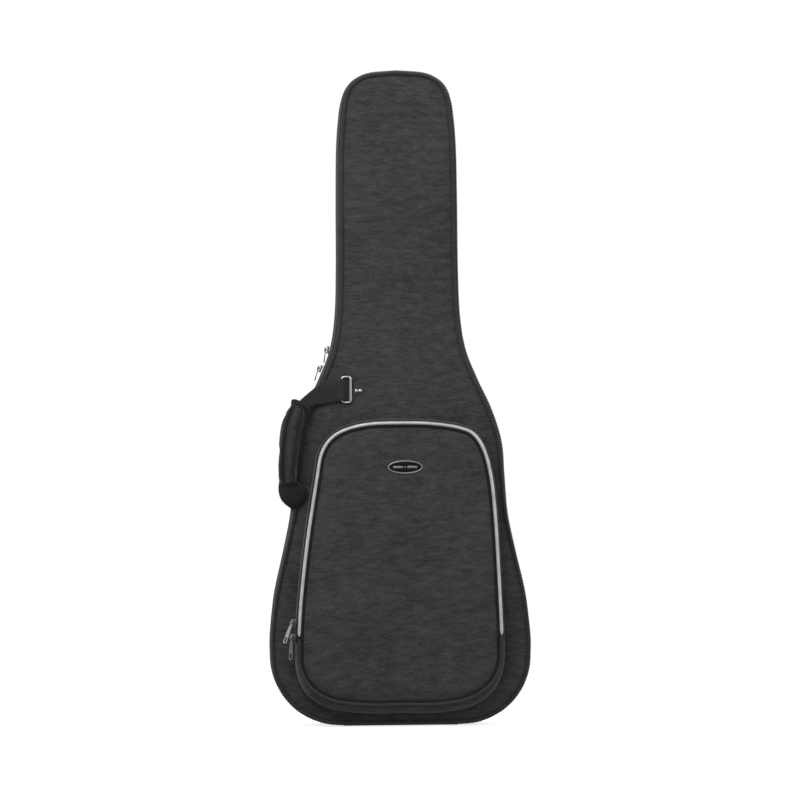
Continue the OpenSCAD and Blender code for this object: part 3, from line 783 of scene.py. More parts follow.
# a draught flap inside the rear wall laps past the zip, less towards the corners that the lid swings through
FLAP_ROOT = [(20.35, 9.4), (20.3, 4), (20.1, 0.9), (19, 0.55), (6.2, 0.5), (5.6, 0), (6.2, -0.5), (19, -0.55),
             (20.1, -0.8)]
FLAP_BACK = [(21.6, 0), (21.6, 5), (21.4, 9.2), (20.9, 10)]
flap = [[*FLAP_ROOT, (20.3, 0.5 - r), (20.9, -r), (21.5, 0.6 - r), *FLAP_BACK]
        for r in 1.6 + 4.6 * flat_step(45, 120, CASE_OPEN.p[:, 1])]
piece("zip_draught_flap", [CASE_OPEN.rings(flap)], "plush", REAR)


# ---------------------------------------------------------------- base strip, its guard and the lid's hem
def along_x(profile, half, n, ends=0.97):
    """Carries a (y, z) profile along X, drawn in at its two ends so that they are rounded."""
    prof = np.asarray(profile, float)
    mid = prof.mean(0)
    small = mid + (prof - mid) * ends
    xs = [-half, *np.linspace(-half + 2, half - 2, n), half]
    return np.array([np.insert(small if abs(x) == half else prof, 0, x, axis=1) for x in xs])


BASE_SKIN = [(-51.8, 3.4), (-50.8, 2.3), (-46, 2.05), (-20, 2.0), (20, 2.0), (44, 2.0), (49.5, 2.6),
             (51, 4.4), (49.6, 5.0), (44, 4.3), (20, 4.2), (-20, 4.2), (-46, 4.2), (-51.2, 4.6)]
BASE_PAD = [(-33.0, 8), (-32.4, 5.0), (-20, 4.6), (20, 4.6), (34.5, 4.6), (35, 12), (34.5, 20.6), (20, 21.9),
            (-20, 21.9), (-31.2, 21.6), (-33.0, 18.8)]
HEM = [(-49.5, 6), (-48.5, 4.9), (-42, 4.7), (-36, 4.9), (-34.6, 7), (-34.4, 14), (-34.8, 20), (-36.5, 22),
       (-42, 22), (-47, 20), (-49.6, 12)]
piece("base_strip", [along_x(smooth(BASE_SKIN, 3), 101.5, 24)], "gusset_cloth", REAR, "base_gusset")
piece("base_lining_pad", [along_x(smooth(BASE_PAD, 3), 101.0, 24)], "plush", REAR, "base_lining", "base_foam",
      fill=0.6)
piece("lid_hem", [along_x(smooth(HEM, 3), 101.0, 24)], "plush", LID, fill=0.6)

# the doubled cloth that the lid folds on: a thin strip along the hinge line
hinge_z = np.linspace(2.6, 7.6, 15)
hinge = [(-51.1, z) for z in hinge_z] + [(-49.9, z) for z in hinge_z[::-1]]
hinge_cloth = piece("hinge_cloth", [along_x(hinge, 100.5, 16, 1.0)], "gusset_cloth", None)
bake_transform(hinge_cloth)

GUARD_HALF, GUARD_FRONT, GUARD_BACK, GUARD_RIBS = 93.5, -33.0, 51.0, 13
ribs = [(y + dy, z) for y in np.linspace(GUARD_FRONT + 6, GUARD_BACK - 6, GUARD_RIBS)
        for dy, z in ((-2.2, 0.75), (-1.2, 0.0), (1.2, 0.0), (2.2, 0.75))]
guard = [*((GUARD_FRONT + dy, z) for dy, z in ((0, 1.6), (0.6, 0.5), (1.6, 0.0), (3.0, 0.0))), *ribs,
         *((GUARD_BACK - dy, z) for dy, z in ((3.0, 0.0), (1.6, 0.0), (0.6, 0.5), (0, 1.6), (0.6, 2.1))),
         (GUARD_FRONT + 0.6, 2.1)]
piece("base_wear_guard", [along_x(guard, GUARD_HALF, 12, 0.985)], "rubber", REAR, "base_guard")

# ---------------------------------------------------------------- pocket
FOOT_Y, RIM_Y, SILVER_R = -54.6, -91.2, 2.75


def across_fold(obj):
    """Bakes a piece's placement into its mesh."""
    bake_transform(obj)


def pocket_wall_point(theta, inner):
    """A point (d, y) on the rounded wall between the pocket's foot (0 degrees) and its cord (90)."""
    a = np.radians(theta)
    depth = FOOT_Y - 4 + (RIM_Y + 5.2 - FOOT_Y) * np.sin(a)
    return np.stack([(inner - 1.6) * (1 - np.cos(a)), depth], axis=-1)


def pocket_band(name, line, t0, t1, slot, body, *nodes, thick=1.0, steps=9, swell=0.0):
    """A strip of the pocket's wall between two angles; one that swells is sewn down at its foot."""
    prof = []
    for inner, bulge in zip(pipe_inset(line.p[:, 1]), wobble(line.p, 60, 21.0)):
        out = pocket_wall_point(np.linspace(t0, t1, steps), inner)
        out[:, 0] -= (swell + 0.35 * bulge * (swell > 0)) * np.sin(np.linspace(0, math.pi, steps))
        rows = [out, out[::-1] + [thick, 0]]
        if swell:
            rows = [[(0.9, FOOT_Y + 5.0), (0.1, FOOT_Y)], *rows, [(thick + 0.5, FOOT_Y + 5.0)]]
        prof.append(np.vstack(rows))
    piece(name, [line.rings(prof)], slot, body, *nodes)


def pocket_teeth(name, start, theta0, theta1, body):
    """The coil of the pocket's zip, on the rounded wall between two angles."""
    inner = pipe_inset(loop_upper.p[:, 1])

    def sections(run):
        ends = pocket_wall_point(np.array([theta0, theta1]), float(np.interp(run, loop_upper.run, inner)))
        for t, half, lift in ((0.0, 0.5, 0.1), (0.25, 0.85, 0.75), (0.75, 0.85, 0.75), (1.0, 0.5, 0.1)):
            d, y = ends[0] + (ends[1] - ends[0]) * t
            yield y, [(-half, d), (-half * 0.6, d - lift), (half * 0.6, d - lift), (half, d), (0.0, d + 0.6)]
    teeth(name, loop_upper, start, 2.6, sections, body)


def pocket_cord(name, keep, slot, body, node):
    """The cord sewn in round the pocket's face, for the stations in keep."""
    line = LOOP.part(keep)
    r = SILVER_R + 0.1 * wobble(line.p, 12, 31.0)
    r[[0, -1]] *= 0.4
    r[[1, -2]] *= 0.9
    way = at_depth(line.inset(pipe_inset(line.p[:, 1])), RIM_Y)
    return piece(name, [tube(way, r, 14)], slot, body, node)


pocket_band("pocket_wall_upper", loop_wall, 0, 40, "gusset_cloth", LID, "pocket_gusset", thick=1.8, swell=0.5)
pocket_band("pocket_wall_lower", loop_lower, 0, 84, "cloth", LID, thick=1.8, steps=16, swell=0.5)
pocket_band("pocket_tape_lower", loop_wall, 38, 54, "zip_tape", LID, "pocket_zip_tape")
pocket_band("pocket_tape_upper", loop_upper, 62, 82, "zip_tape", DOOR, "pocket_door_tape")
pocket_teeth("pocket_teeth_lower", 1.5, 50, 57.5, LID)
pocket_teeth("pocket_teeth_upper", 2.8, 60, 68, DOOR)
pocket_cord("pocket_silver_piping", LOOP.p[:, 1] > SILVER_Z, "reflective_piping", DOOR, "pocket_door_piping")
across_fold(pocket_cord("pocket_dark_piping", LOOP.p[:, 1] < SILVER_Z + 2.5, "dark_piping", None,
                        "pocket_lower_piping"))

# the cord's flange fills the channel between the cord and the padded face; its near-black cloth is partly the
# flange's own dark cloth and partly painted shade for that recess
FLANGE = np.array([(1.2, -89.4), (2.4, -91.0), (3.8, -91.2), (6.0, -90.7), (7.6, -90.2), (8.4, -89.2),
                   (7.4, -88.4), (2.0, -88.4)])
inner = pipe_inset(LOOP.p[:, 1])
flange = LOOP.rings([FLANGE + [d, 0] for d in inner])
across_fold(piece("pocket_piping_flange", [flange], "dark_piping", None, mat="piping_flange_shade", loop=True))

PAD_EDGE = resample(LOOP.inset(inner + 6.6), 4.6)
FOLD_ROWS = tuple(np.arange(129.0, 152.0, 2.75))


def pocket_face(points):
    """The pocket's front: a tight roll inside the cord, then a soft swell, fullest low down."""
    d = distance_to(points, PAD_EDGE)
    roll = 89.2 + 4.2 * (1 - np.exp(-d / 4.2))
    swell = 2.6 * np.clip(d / 75, 0, 1) ** 0.8 * np.exp(-((points[:, 1] - 230) / 190) ** 2)
    return -(roll + swell + 0.45 * wobble(points, 62, 4.4) * np.clip(d / 30, 0, 1))


pocket_pad = puffed_pad("pocket_front_pad", PAD_EDGE, PAD_EDGE, 7.0, pocket_face, -88.6, 2.0, 0.006,
                        FOLD_ROWS)
declared(pocket_pad, "cloth", None, "pocket_lower_panel", "pocket_door", fill=0.7)
across_fold(pocket_pad)

# ---------------------------------------------------------------- badge
BADGE_X, BADGE_Z, BADGE_A, BADGE_B, BADGE_EDGE = 7.5, 422.6, 29.2, 11.6, 1.8
badge_y = surface_of(pocket_pad)(BADGE_X, BADGE_Z)
FACE_STEPS = ((26.6, 9.2, -0.8), (27.2, 9.7, -0.3), (27.2, 9.7, 1.1), (26.6, 9.2, 1.4), (25.2, 8.2, 1.4),
              (24.6, 7.7, 1.25), (23.6, 7.0, 1.25), (10.0, 2.8, 1.35))
LOZENGE_STEPS = ((1.0, 1.0), (0.96, 1.9), (0.8, 2.1))


def badge_oval(a, b, out):
    return oval(BADGE_X, BADGE_Z, a, b, badge_y - out, 72)


def lozenge(dx, half, h, point=0.82):
    """A plain raised bar with pointed ends."""
    tip = point * half
    corners = np.array([(-half, 0), (-tip, h), (tip, h), (half, 0), (tip, -h), (-tip, -h)])
    return [at_depth(corners * k + [BADGE_X + dx, BADGE_Z], badge_y - out) for k, out in LOZENGE_STEPS]


piece("badge_face", [[badge_oval(*step) for step in FACE_STEPS]], "moulded_plastic", DOOR, "badge_plate",
      mat="badge_enamel")
rim = [badge_oval(BADGE_A - BADGE_EDGE + BADGE_EDGE * c, BADGE_B - BADGE_EDGE + BADGE_EDGE * c, 0.6 + 1.6 * s)
       for c, s in zip(*circle(10))]
piece("badge_edge", [rim], "badge_metal", DOOR, "badge_rim", loop=True)
piece("badge_bars", [lozenge(-11.4, 9.2, 1.9), lozenge(11.4, 9.2, 1.9), lozenge(0, 1.5, 1.5, 0.1)],
      "badge_metal", DOOR)

# ---------------------------------------------------------------- ring, its tab and the rivets
RING_Z, RING_RIGHT, RING_LEFT, RING_H, WIRE_R = 549.0, -78.5, -94.5, 44.0, 2.0
RING_Y = -59.4
FRONT_NORMAL, BACK_NORMAL = (0, -1, 0), (0, 1, 0)
ring_line = Outline(resample(rounded_loop(RING_LEFT + 1.2, RING_RIGHT - 0.6, RING_Z - RING_H / 2 + 1.2,
                                          RING_Z + RING_H / 2 - 1.2, 2.6, 4.6), 1.2))
bar_r = WIRE_R + 0.85 * flat_step(RING_RIGHT - 2.2, RING_RIGHT - 0.2, ring_line.p[:, 0])
piece("ring_bar", [ring_line.rings([round_profile(0.0, RING_Y, r) for r in bar_r])], "polished_metal",
      "handle_ring", "handle_ring", loop=True)

TAB = [(-75.2, -15), (-58.5, -3.2), (-56.0, 0), (-58.5, 3.2), (-75.2, 15), (-77.4, 13), (-77.4, -13)]
tab_line = Outline(resample(np.array(TAB) + [0, RING_Z], 1.6))
tab_y = front_surface(-65, RING_Z)
TAB_STEPS = ((0.5, -0.5), (0.0, 0.0), (0.1, 0.9), (0.7, 1.3), (3.0, 1.35))
piece("ring_tab_cloth", [[at_depth(tab_line.inset(d), tab_y - out) for d, out in TAB_STEPS]], "cloth", LID,
      "ring_tab")
tab_seam = stitches(at_depth(tab_line.inset(2.0), tab_y - 1.35), FRONT_NORMAL, 2.2, 1.0, 0.28)
sewing("ring_tab_stitching", tab_seam, LID)

RIVET_R, RIVET_H = 3.1, 1.5
RIVET_STEPS = ((0.9, -0.4), (1.0, 0.0), (1.0, 0.25), (0.93, 0.4), (0.8, 0.72), (0.55, 0.93), (0.25, 1.0))
rivets = [[oval(x, RING_Z - 2.0, RIVET_R * k, RIVET_R * k, tab_y - 1.2 - RIVET_H * h, 20)
           for k, h in RIVET_STEPS] for x in (-69.4, -63.0)]
piece("ring_rivet_heads", rivets, "polished_metal", LID, "ring_rivets")

# ---------------------------------------------------------------- handle
WEB_W, WEB_T = 35.0, 2.2


def web_between(name, edges, ribs, *nodes):
    """Ribbed webbing whose two edges run through the given pairs of points."""
    one, two = (smooth([pair[i] for pair in edges], 7) for i in (0, 1))
    middle, across = (one + two) / 2, unit(one - two)
    through = unit(np.cross(unit(np.gradient(middle, axis=0)), across))
    flat = band(1.0, WEB_T, ribs, 0.16)
    width = np.linalg.norm(one - two, axis=1)[:, None]
    rings = middle[:, None] + flat[:, :1] * (across * width)[:, None] + flat[:, 1:] * through[:, None]
    return piece(name, [rings], "webbing", None, *nodes, sharp=60)


LOW, HIGH = RING_Z - WEB_W / 2, RING_Z + WEB_W / 2
WRAP_X, WRAP_R, WRAP_IN, WRAP_OUT = RING_LEFT + 1.5, 5.1, 3.9, 5.2       # the turn round the ring's left bar
wrap = [(WRAP_X + WRAP_R * math.cos(b), RING_Y + (WRAP_IN if b > 0 else WRAP_OUT) * math.sin(b))
        for b in np.radians((80, 35, -10, -55, -90))]
under = [(-119, -55.4), (-113, -55.5), (-106, -55.8), (-99, -55.6), *wrap]
UPPER_EDGES = [
    ((-101, -62.3, 566.2), (-101, -62.3, 530.2)), ((-111, -60.5, 566.0), (-111, -60.5, 528.2)),
    ((-121, -59.6, 563.5), (-121, -59.8, 526.8)), ((-131, -60.0, 557.0), (-130.5, -60.8, 525.6)),
    ((-141, -61.6, 549.6), (-138.5, -62.6, 524.2)), ((-151, -64.2, 541.4), (-144.5, -65.0, 521.4)),
    ((-160, -67.2, 533.8), (-148.8, -67.6, 517.4)), ((-167.6, -69.8, 526.4), (-152.0, -70.4, 512.6)),
    ((-173.4, -72.0, 518.0), (-154.6, -72.2, 507.6)), ((-176.6, -73.2, 508.0), (-157.0, -73.4, 501.0)),
]
LOWER_EDGES = [
    ((-191.5, -75.0, 416), (-175.5, -75.0, 415)), ((-194.0, -75.0, 407), (-173.5, -75.0, 406)),
    ((-196.8, -74.8, 399), (-165.0, -74.6, 398)), ((-198.0, -73.8, 391), (-153.5, -72.4, 392)),
    ((-197.4, -71.4, 382), (-151.4, -69.6, 385)), ((-194.0, -67.6, 372), (-154.5, -65.8, 376)),
    ((-187.5, -62.8, 364), (-159.0, -61.2, 367.5)), ((-180.5, -57.6, 358.5), (-163.0, -56.6, 361)),
    ((-176.0, -53.0, 355), (-165.0, -53.0, 356.5)), ((-174.8, -50.6, 349), (-164.0, -50.6, 349)),
    ((-174.2, -50.0, 331), (-162.0, -50.0, 331)),
]
upper_edges = [((x, y, HIGH), (x, y, LOW)) for x, y in under] + UPPER_EDGES
upper_web = web_between("handle_upper_webbing", upper_edges, 11, "handle_webbing", "handle_twist")
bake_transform(upper_web)

# the fold of webbing at the top of the grip, creased and widest in its middle
FOLD = [(-175.5, -72.0, 527.5), (-172.0, -74.0, 528.0), (-166.0, -76.4, 525.0), (-159.5, -77.4, 520.0),
        (-152.5, -76.4, 514.6), (-147.6, -72.6, 511.6), (-146.4, -68.6, 511.2)]
fold_line = smooth(FOLD, 7)
fold_w = 15.5 - 5.5 * np.linspace(-1, 1, len(fold_line)) ** 2
fold_rings = ribbon(fold_line, (0.55, 0.0, 0.83), [band(1.0, 3.0, 7, 0.14) * [w, 1.0] for w in fold_w])
creases = 0.5 * wobble(fold_rings[..., [0, 2]].reshape(-1, 2), 6, 8.8)
fold_rings[..., 1] += creases.reshape(fold_rings.shape[:2])
# painted shade: the fold is made in the darker zip-tape cloth, for the shadow round the knot
piece("handle_webbing_fold", [fold_rings], "webbing", "handle", mat="zip_tape", sharp=60)
lower_web = web_between("handle_lower_webbing_strap", LOWER_EDGES, 9, "handle_lower_webbing", "handle_anchor")
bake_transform(lower_web)
box = [(-121, -61.0, 534.5), (-104.5, -62.9, 534.5), (-104.5, -62.9, 561), (-121, -61.0, 561)]
sewing("handle_sewn_boxes", box_stitches(box, FRONT_NORMAL, 2.4, 1.0, 0.3), LID, "thread_pale")

GRIP = [  # centre x, y, z, half width, half thickness
    (-166.6, -73.4, 522.4, 5.5, 5.0), (-166.8, -73.5, 521.4, 9.0, 7.5), (-167.6, -73.8, 517, 12.4, 10.0),
    (-169.4, -74.2, 509.5, 15.2, 11.8), (-172.4, -74.8, 498, 16.4, 12.8), (-175.8, -75.1, 483, 16.7, 13.0),
    (-178.6, -75.3, 465, 16.4, 13.0), (-180.6, -75.4, 446, 16.0, 12.9), (-181.9, -75.3, 428, 15.5, 12.6),
    (-182.4, -75.1, 413, 14.8, 12.1), (-182.4, -75.0, 402, 13.9, 11.4), (-182.2, -75.0, 397.6, 12.6, 10.2),
    (-182.0, -75.0, 396.4, 9.5, 8.0),
]
N_GRIP, CREASES, CREASE_W, HIGHLIGHT_X, HIGHLIGHT_W = 40, (-0.50, 0.56), 0.13, 0.06, 0.30


def squarish(values, power):
    """A circle's cosines or sines, pushed outwards into a rounded square."""
    return np.sign(values) * np.abs(values) ** power


stations = smooth(GRIP, 5)
t = unit(np.gradient(stations[:, :3], axis=0))
side = unit(np.array([1.0, 0.0, 0.0]) - t * t[:, :1])
front = np.cross(side, t)
gx, gy = (squarish(v, 0.78) for v in circle(N_GRIP))
for crease in CREASES:
    gy = gy * (1 - 0.40 * np.exp(-((gx - crease) / CREASE_W) ** 2))
sleeve = (stations[:, None, :3] + (stations[:, 3:4] * gx)[..., None] * side[:, None]
          + (stations[:, 4:5] * gy)[..., None] * front[:, None])
grip = built("handle_grip_sleeve", [sleeve], "grip_sleeve", sharp=60)
height = coords(grip.data)[:, 2] / MM
column = np.arange(len(height)) % N_GRIP
puff(grip, (height > 512) | (height < 400) | np.isin(column, (0, 1, N_GRIP - 1)), 5.0, 1.6, 0.02)
# painted highlight down the front middle of the grip, where light would catch the padded tube
painted_highlight = np.where(gy < 0.0, np.exp(-((gx - HIGHLIGHT_X) / HIGHLIGHT_W) ** 2), 0.0)
highlight_layer = grip.data.attributes.new("painted_highlight", "FLOAT", "POINT")
highlight_layer.data.foreach_set("value", np.tile(painted_highlight, len(stations)).astype(np.float32))
declared(grip, "grip_sleeve", "handle", "handle_grip", fill=0.8)

skin = coords(grip.data).reshape(len(stations), N_GRIP, 3) / MM
outward = unit(skin - skin.mean(1, keepdims=True))
seams = []
for k in (N_GRIP - 4, 4):
    seams += stitches(skin[4:-5, k] + outward[4:-5, k] * 0.1, outward[4:-5, k], 2.8, 1.4, 0.24)
sewing("grip_stitching", seams, "handle", "zip_tape")
rings = [skin[row] + outward[row] * 0.5 for row in (6, -9)]
piece("grip_end_binding", [tube(np.vstack([ring, ring[:2]]), 1.0, 8) for ring in rings], "webbing", "handle")

# ---------------------------------------------------------------- zip sliders and pulls
SLIDER_L, SLIDER_W, SLIDER_T, PIN_R, PULL_W, PULL_T = 13.0, 10.0, 3.6, 0.9, 4.0, 1.9
PIN_X = -SLIDER_T - 2.4
SLIDERS = {  # place, lean and turn of the wall there, extra lean of the pull, and the pull's length
    "main_upper": ((-111.7, 0, 614.2), 9.8, 0, -2, 22.0),
    "main_lower": ((-123.9, 0, 582.8), 23.4, 0, -6, 22.0),
    "pocket_upper": ((-174.3, -86.5, 171), 5.8, 45, 20, 36.0),
    "pocket_lower": ((-174.9, -86.5, 147), 2.2, 45, 0, 36.0),
}


def slider_parts():
    """Two wings that narrow towards the tail, a core and rails between them, and an arch with its pin."""
    points, faces = block((1.3, SLIDER_W, SLIDER_L), 0.55, 3)
    t = np.clip(points[:, 2] / SLIDER_L + 0.5, 0, 1)
    points[:, 1] *= 0.80 + 0.20 * t
    points[:, 0] *= 1.0 - 0.12 * np.abs(2 * t - 1) ** 3
    parts = [(points + [x, 0, 0], faces) for x in (-0.75, 0.75 - SLIDER_T)]
    parts.append(block((SLIDER_T - 0.6, 3.0, 4.0), 0.4, 2, (-SLIDER_T / 2, 0, 3.2)))
    parts += [block((1.7, 0.9, SLIDER_L - 2.5), 0.3, 2, (1.1 - SLIDER_T, sign * (SLIDER_W / 2 - 0.6), 0))
              for sign in (-1, 1)]
    half = [(0.2 - SLIDER_T, 0, 4.6), (PIN_X - 0.6, 0, 3.8), (PIN_X - 1.4, 0, 1.2)]
    arch = smooth(half + [(x, y, -z) for x, y, z in half[::-1]], 6)
    parts.append(lofted(ribbon(arch, (0, 1, 0), band(2.6, 0.9))))
    parts.append(lofted(tube([(PIN_X, 0.9 - SLIDER_W / 2, 0), (PIN_X, SLIDER_W / 2 - 0.9, 0)], PIN_R, 12)))
    return parts


def slotted_plate(outer, inner, chamfer=0.35):
    """A flat plate with a slot: matching outer and inner lines, chamfered all round."""
    h = PULL_T / 2
    rows = [(outer, 0, chamfer - h), (outer, chamfer, -h), (inner, -chamfer, -h), (inner, 0, chamfer - h),
            (inner, 0, h - chamfer), (inner, -chamfer, h), (outer, chamfer, h), (outer, 0, h - chamfer)]
    return lofted([np.insert(line.inset(d), 0, x, axis=1) for line, d, x in rows], loop=True)


def pull_parts(length):
    """A tapered plate with a long slot and a round end, a short neck, and an eye on the pin."""
    w, low, high = PULL_W, 2.2 - length, 2.2 - 0.75 * length
    outer = resample([(-2.3, -6.2), (-3.2, -9.5), (-w, w + 4 - length), *arc(0, w - length, w, -180, 0, 12),
                      (w, w + 4 - length), (3.2, -9.5), (2.3, -6.2)], 1.1)
    slot = resample(rounded_loop(-1.9, 1.9, low, high, 1.85), 0.5)
    slot = np.vstack([slot, slot[:1]])

    def turn(points):
        return np.arctan2(points[:, 1] - (low + high) / 2, points[:, 0])

    turns = np.unwrap(turn(slot))
    inner = sampled(slot, turns, (turn(outer) - turns[0]) % (2 * math.pi) + turns[0])
    neck = ribbon(smooth([(0, 0, -1.6), (0, 0, -4), (0, 0, -7.4)], 4), (0, 1, 0), band(4.4, 1.7))
    eye = Outline(oval(0, 0, 1.55, 1.55, 0, 20)[:, [0, 2]]).rings(round_profile(0, 0, 0.62, 10) * [1, 3.2])
    return [slotted_plate(Outline(outer), Outline(inner)), lofted(neck), lofted(eye, loop=True)]


for key, (point, lean, spin, extra, length) in SLIDERS.items():
    group, which = key.split("_")
    wall_place = (Matrix.Translation(point) @ Matrix.Rotation(math.radians(lean), 4, "Y")
                  @ Matrix.Rotation(math.radians(spin), 4, "Z"))
    pull_place = wall_place @ Matrix.Translation((PIN_X, 0, 0)) @ Matrix.Rotation(math.radians(extra), 4, "Y")
    piece(f"{key}_slider_body", [moved_by(wall_place, part) for part in slider_parts()], "zip_metal",
          f"{key}_slider", f"{group}_slider_{which}", sharp=35)
    piece(f"{key}_pull_tab", [moved_by(pull_place, part) for part in pull_parts(length)], "zip_metal",
          f"{key}_pull", f"{group}_puller_{which}", sharp=35)

# ---------------------------------------------------------------- back: the yoke
STRAP_X, STRAP_TOP, STRAP_LEAN, PAD_LEN, PAD_W, PAD_T = 34.0, 712.0, math.radians(8), 372.0, 62.0, 11.0


def patch(name, outline, height, fill, *nodes, step=5.0):
    """A sewn patch on the back: height(x, z) is how far its face stands off; its rim is tucked in."""
    edge = resample(outline, step * 0.8)
    base = min(back_surface(x, z) for x, z in edge) - 1.2

    def face(points):
        rise = 0.25 + 0.75 * (1 - np.exp(-distance_to(points, edge) / 1.8))
        return np.array([back_surface(x, z) + height(x, z) * k for (x, z), k in zip(points, rise)])
    sheet = pad_sheet(name, edge, step, face, base, "strap_padding")
    declared(sheet, "strap_padding", REAR, *nodes, fill=fill)


def sewn_line(outline, inset, height, closed=True):
    """Stitches that follow an outline on the back, a little inside it."""
    q = Outline(resample(outline, 4.0, closed), closed).inset(inset)
    q = np.vstack([q, q[:1]]) if closed else q
    way = [(x, back_surface(x, z) + height(x, z) + 0.1, z) for x, z in q]
    return stitches(way, BACK_NORMAL, 2.8, 1.3, 0.34)


def yoke_height(x, z):
    return 1.9


def cover_height(x, z):
    """The cover strip rises over the two pad ends."""
    over = math.exp(-abs((abs(x) - STRAP_X) / 29.0) ** 5)
    return 3.2 + 7.0 * over * (1 - flat_step(707, 722, z))


YOKE = both_sides([(72, 690), (73, 692), (61, 734), (59, 736)])
COVER = both_sides([(67, 703), (68, 705), (65, 726), (64, 727)])
patch("strap_yoke_patch", YOKE, yoke_height, 0.4, "strap_yoke")
patch("strap_yoke_cover", COVER, cover_height, 0.5, step=3.2)
yoke_seams = sewn_line(YOKE, 3.0, yoke_height)
for half, z in ((62, 724.5), (63, 721.0)):
    yoke_seams += sewn_line([(-half, z), (half, z)], 0.0, cover_height, closed=False)
sewing("strap_yoke_stitching", yoke_seams, REAR, "thread_pale")

# ---------------------------------------------------------------- back: the two shoulder straps
N_PAD = 44
QUARTER, HALF = N_PAD // 4, N_PAD // 2
LOCK_LEN, LOCK_W, LOCK_Y, STRAP_W = 30.0, 34.0, 60.0, 25.0
FOOT_X, FOOT_Z = 150.0, 118.0
WEBBING = band(STRAP_W, 1.7, 9, 0.13)
STEPS = np.concatenate([[0.0, 0.004, 0.012], np.linspace(0.025, 0.965, 62), [0.982, 0.993, 1.0]])
LEAD = ((3, -0.5), (6, -0.9), (8.5, -1.6), (9.6, -3.0), (9.0, -4.6), (6, -5.0), (1, -4.2))
BARS = ((-3.2, 4.2, 3.6, 2.5, 0.4), (-11.7, 4.4, 3.2, 1.9, -0.5), (-20.7, 4.4, 3.2, 1.9, -0.5),
        (-29.0, 4.6, 3.4, 3.2, 0.4))
THREADED = ((60.3, -28.5), (60.0, -25.2), (60.9, -23.0), (64.8, -20.2), (65.9, -17.6), (65.2, -14.6),
            (63.4, -12.6))
RETURN = ((61.4, -13.6), (59.6, -18), (59.9, -22.4), (62.6, -25.2), (66.9, -29.4))
TAIL = ((10, 69.0, 0), (24, 67.0, 0.6), (48, 65.6, 1.2), (72, 65.3, 1.0), (90, 66.2, 0.4), (97, 67.0, 0))
TAIL_HEM = ((82, 67.4, 0.6), (90, 68.2, 0.4), (96.5, 69.1, 0), (99.3, 68.6, 0), (99.0, 67.6, 0))
FOOT_TAB = both_sides([(-16.5, 26), (-26.5, -14), (-26, -16)])


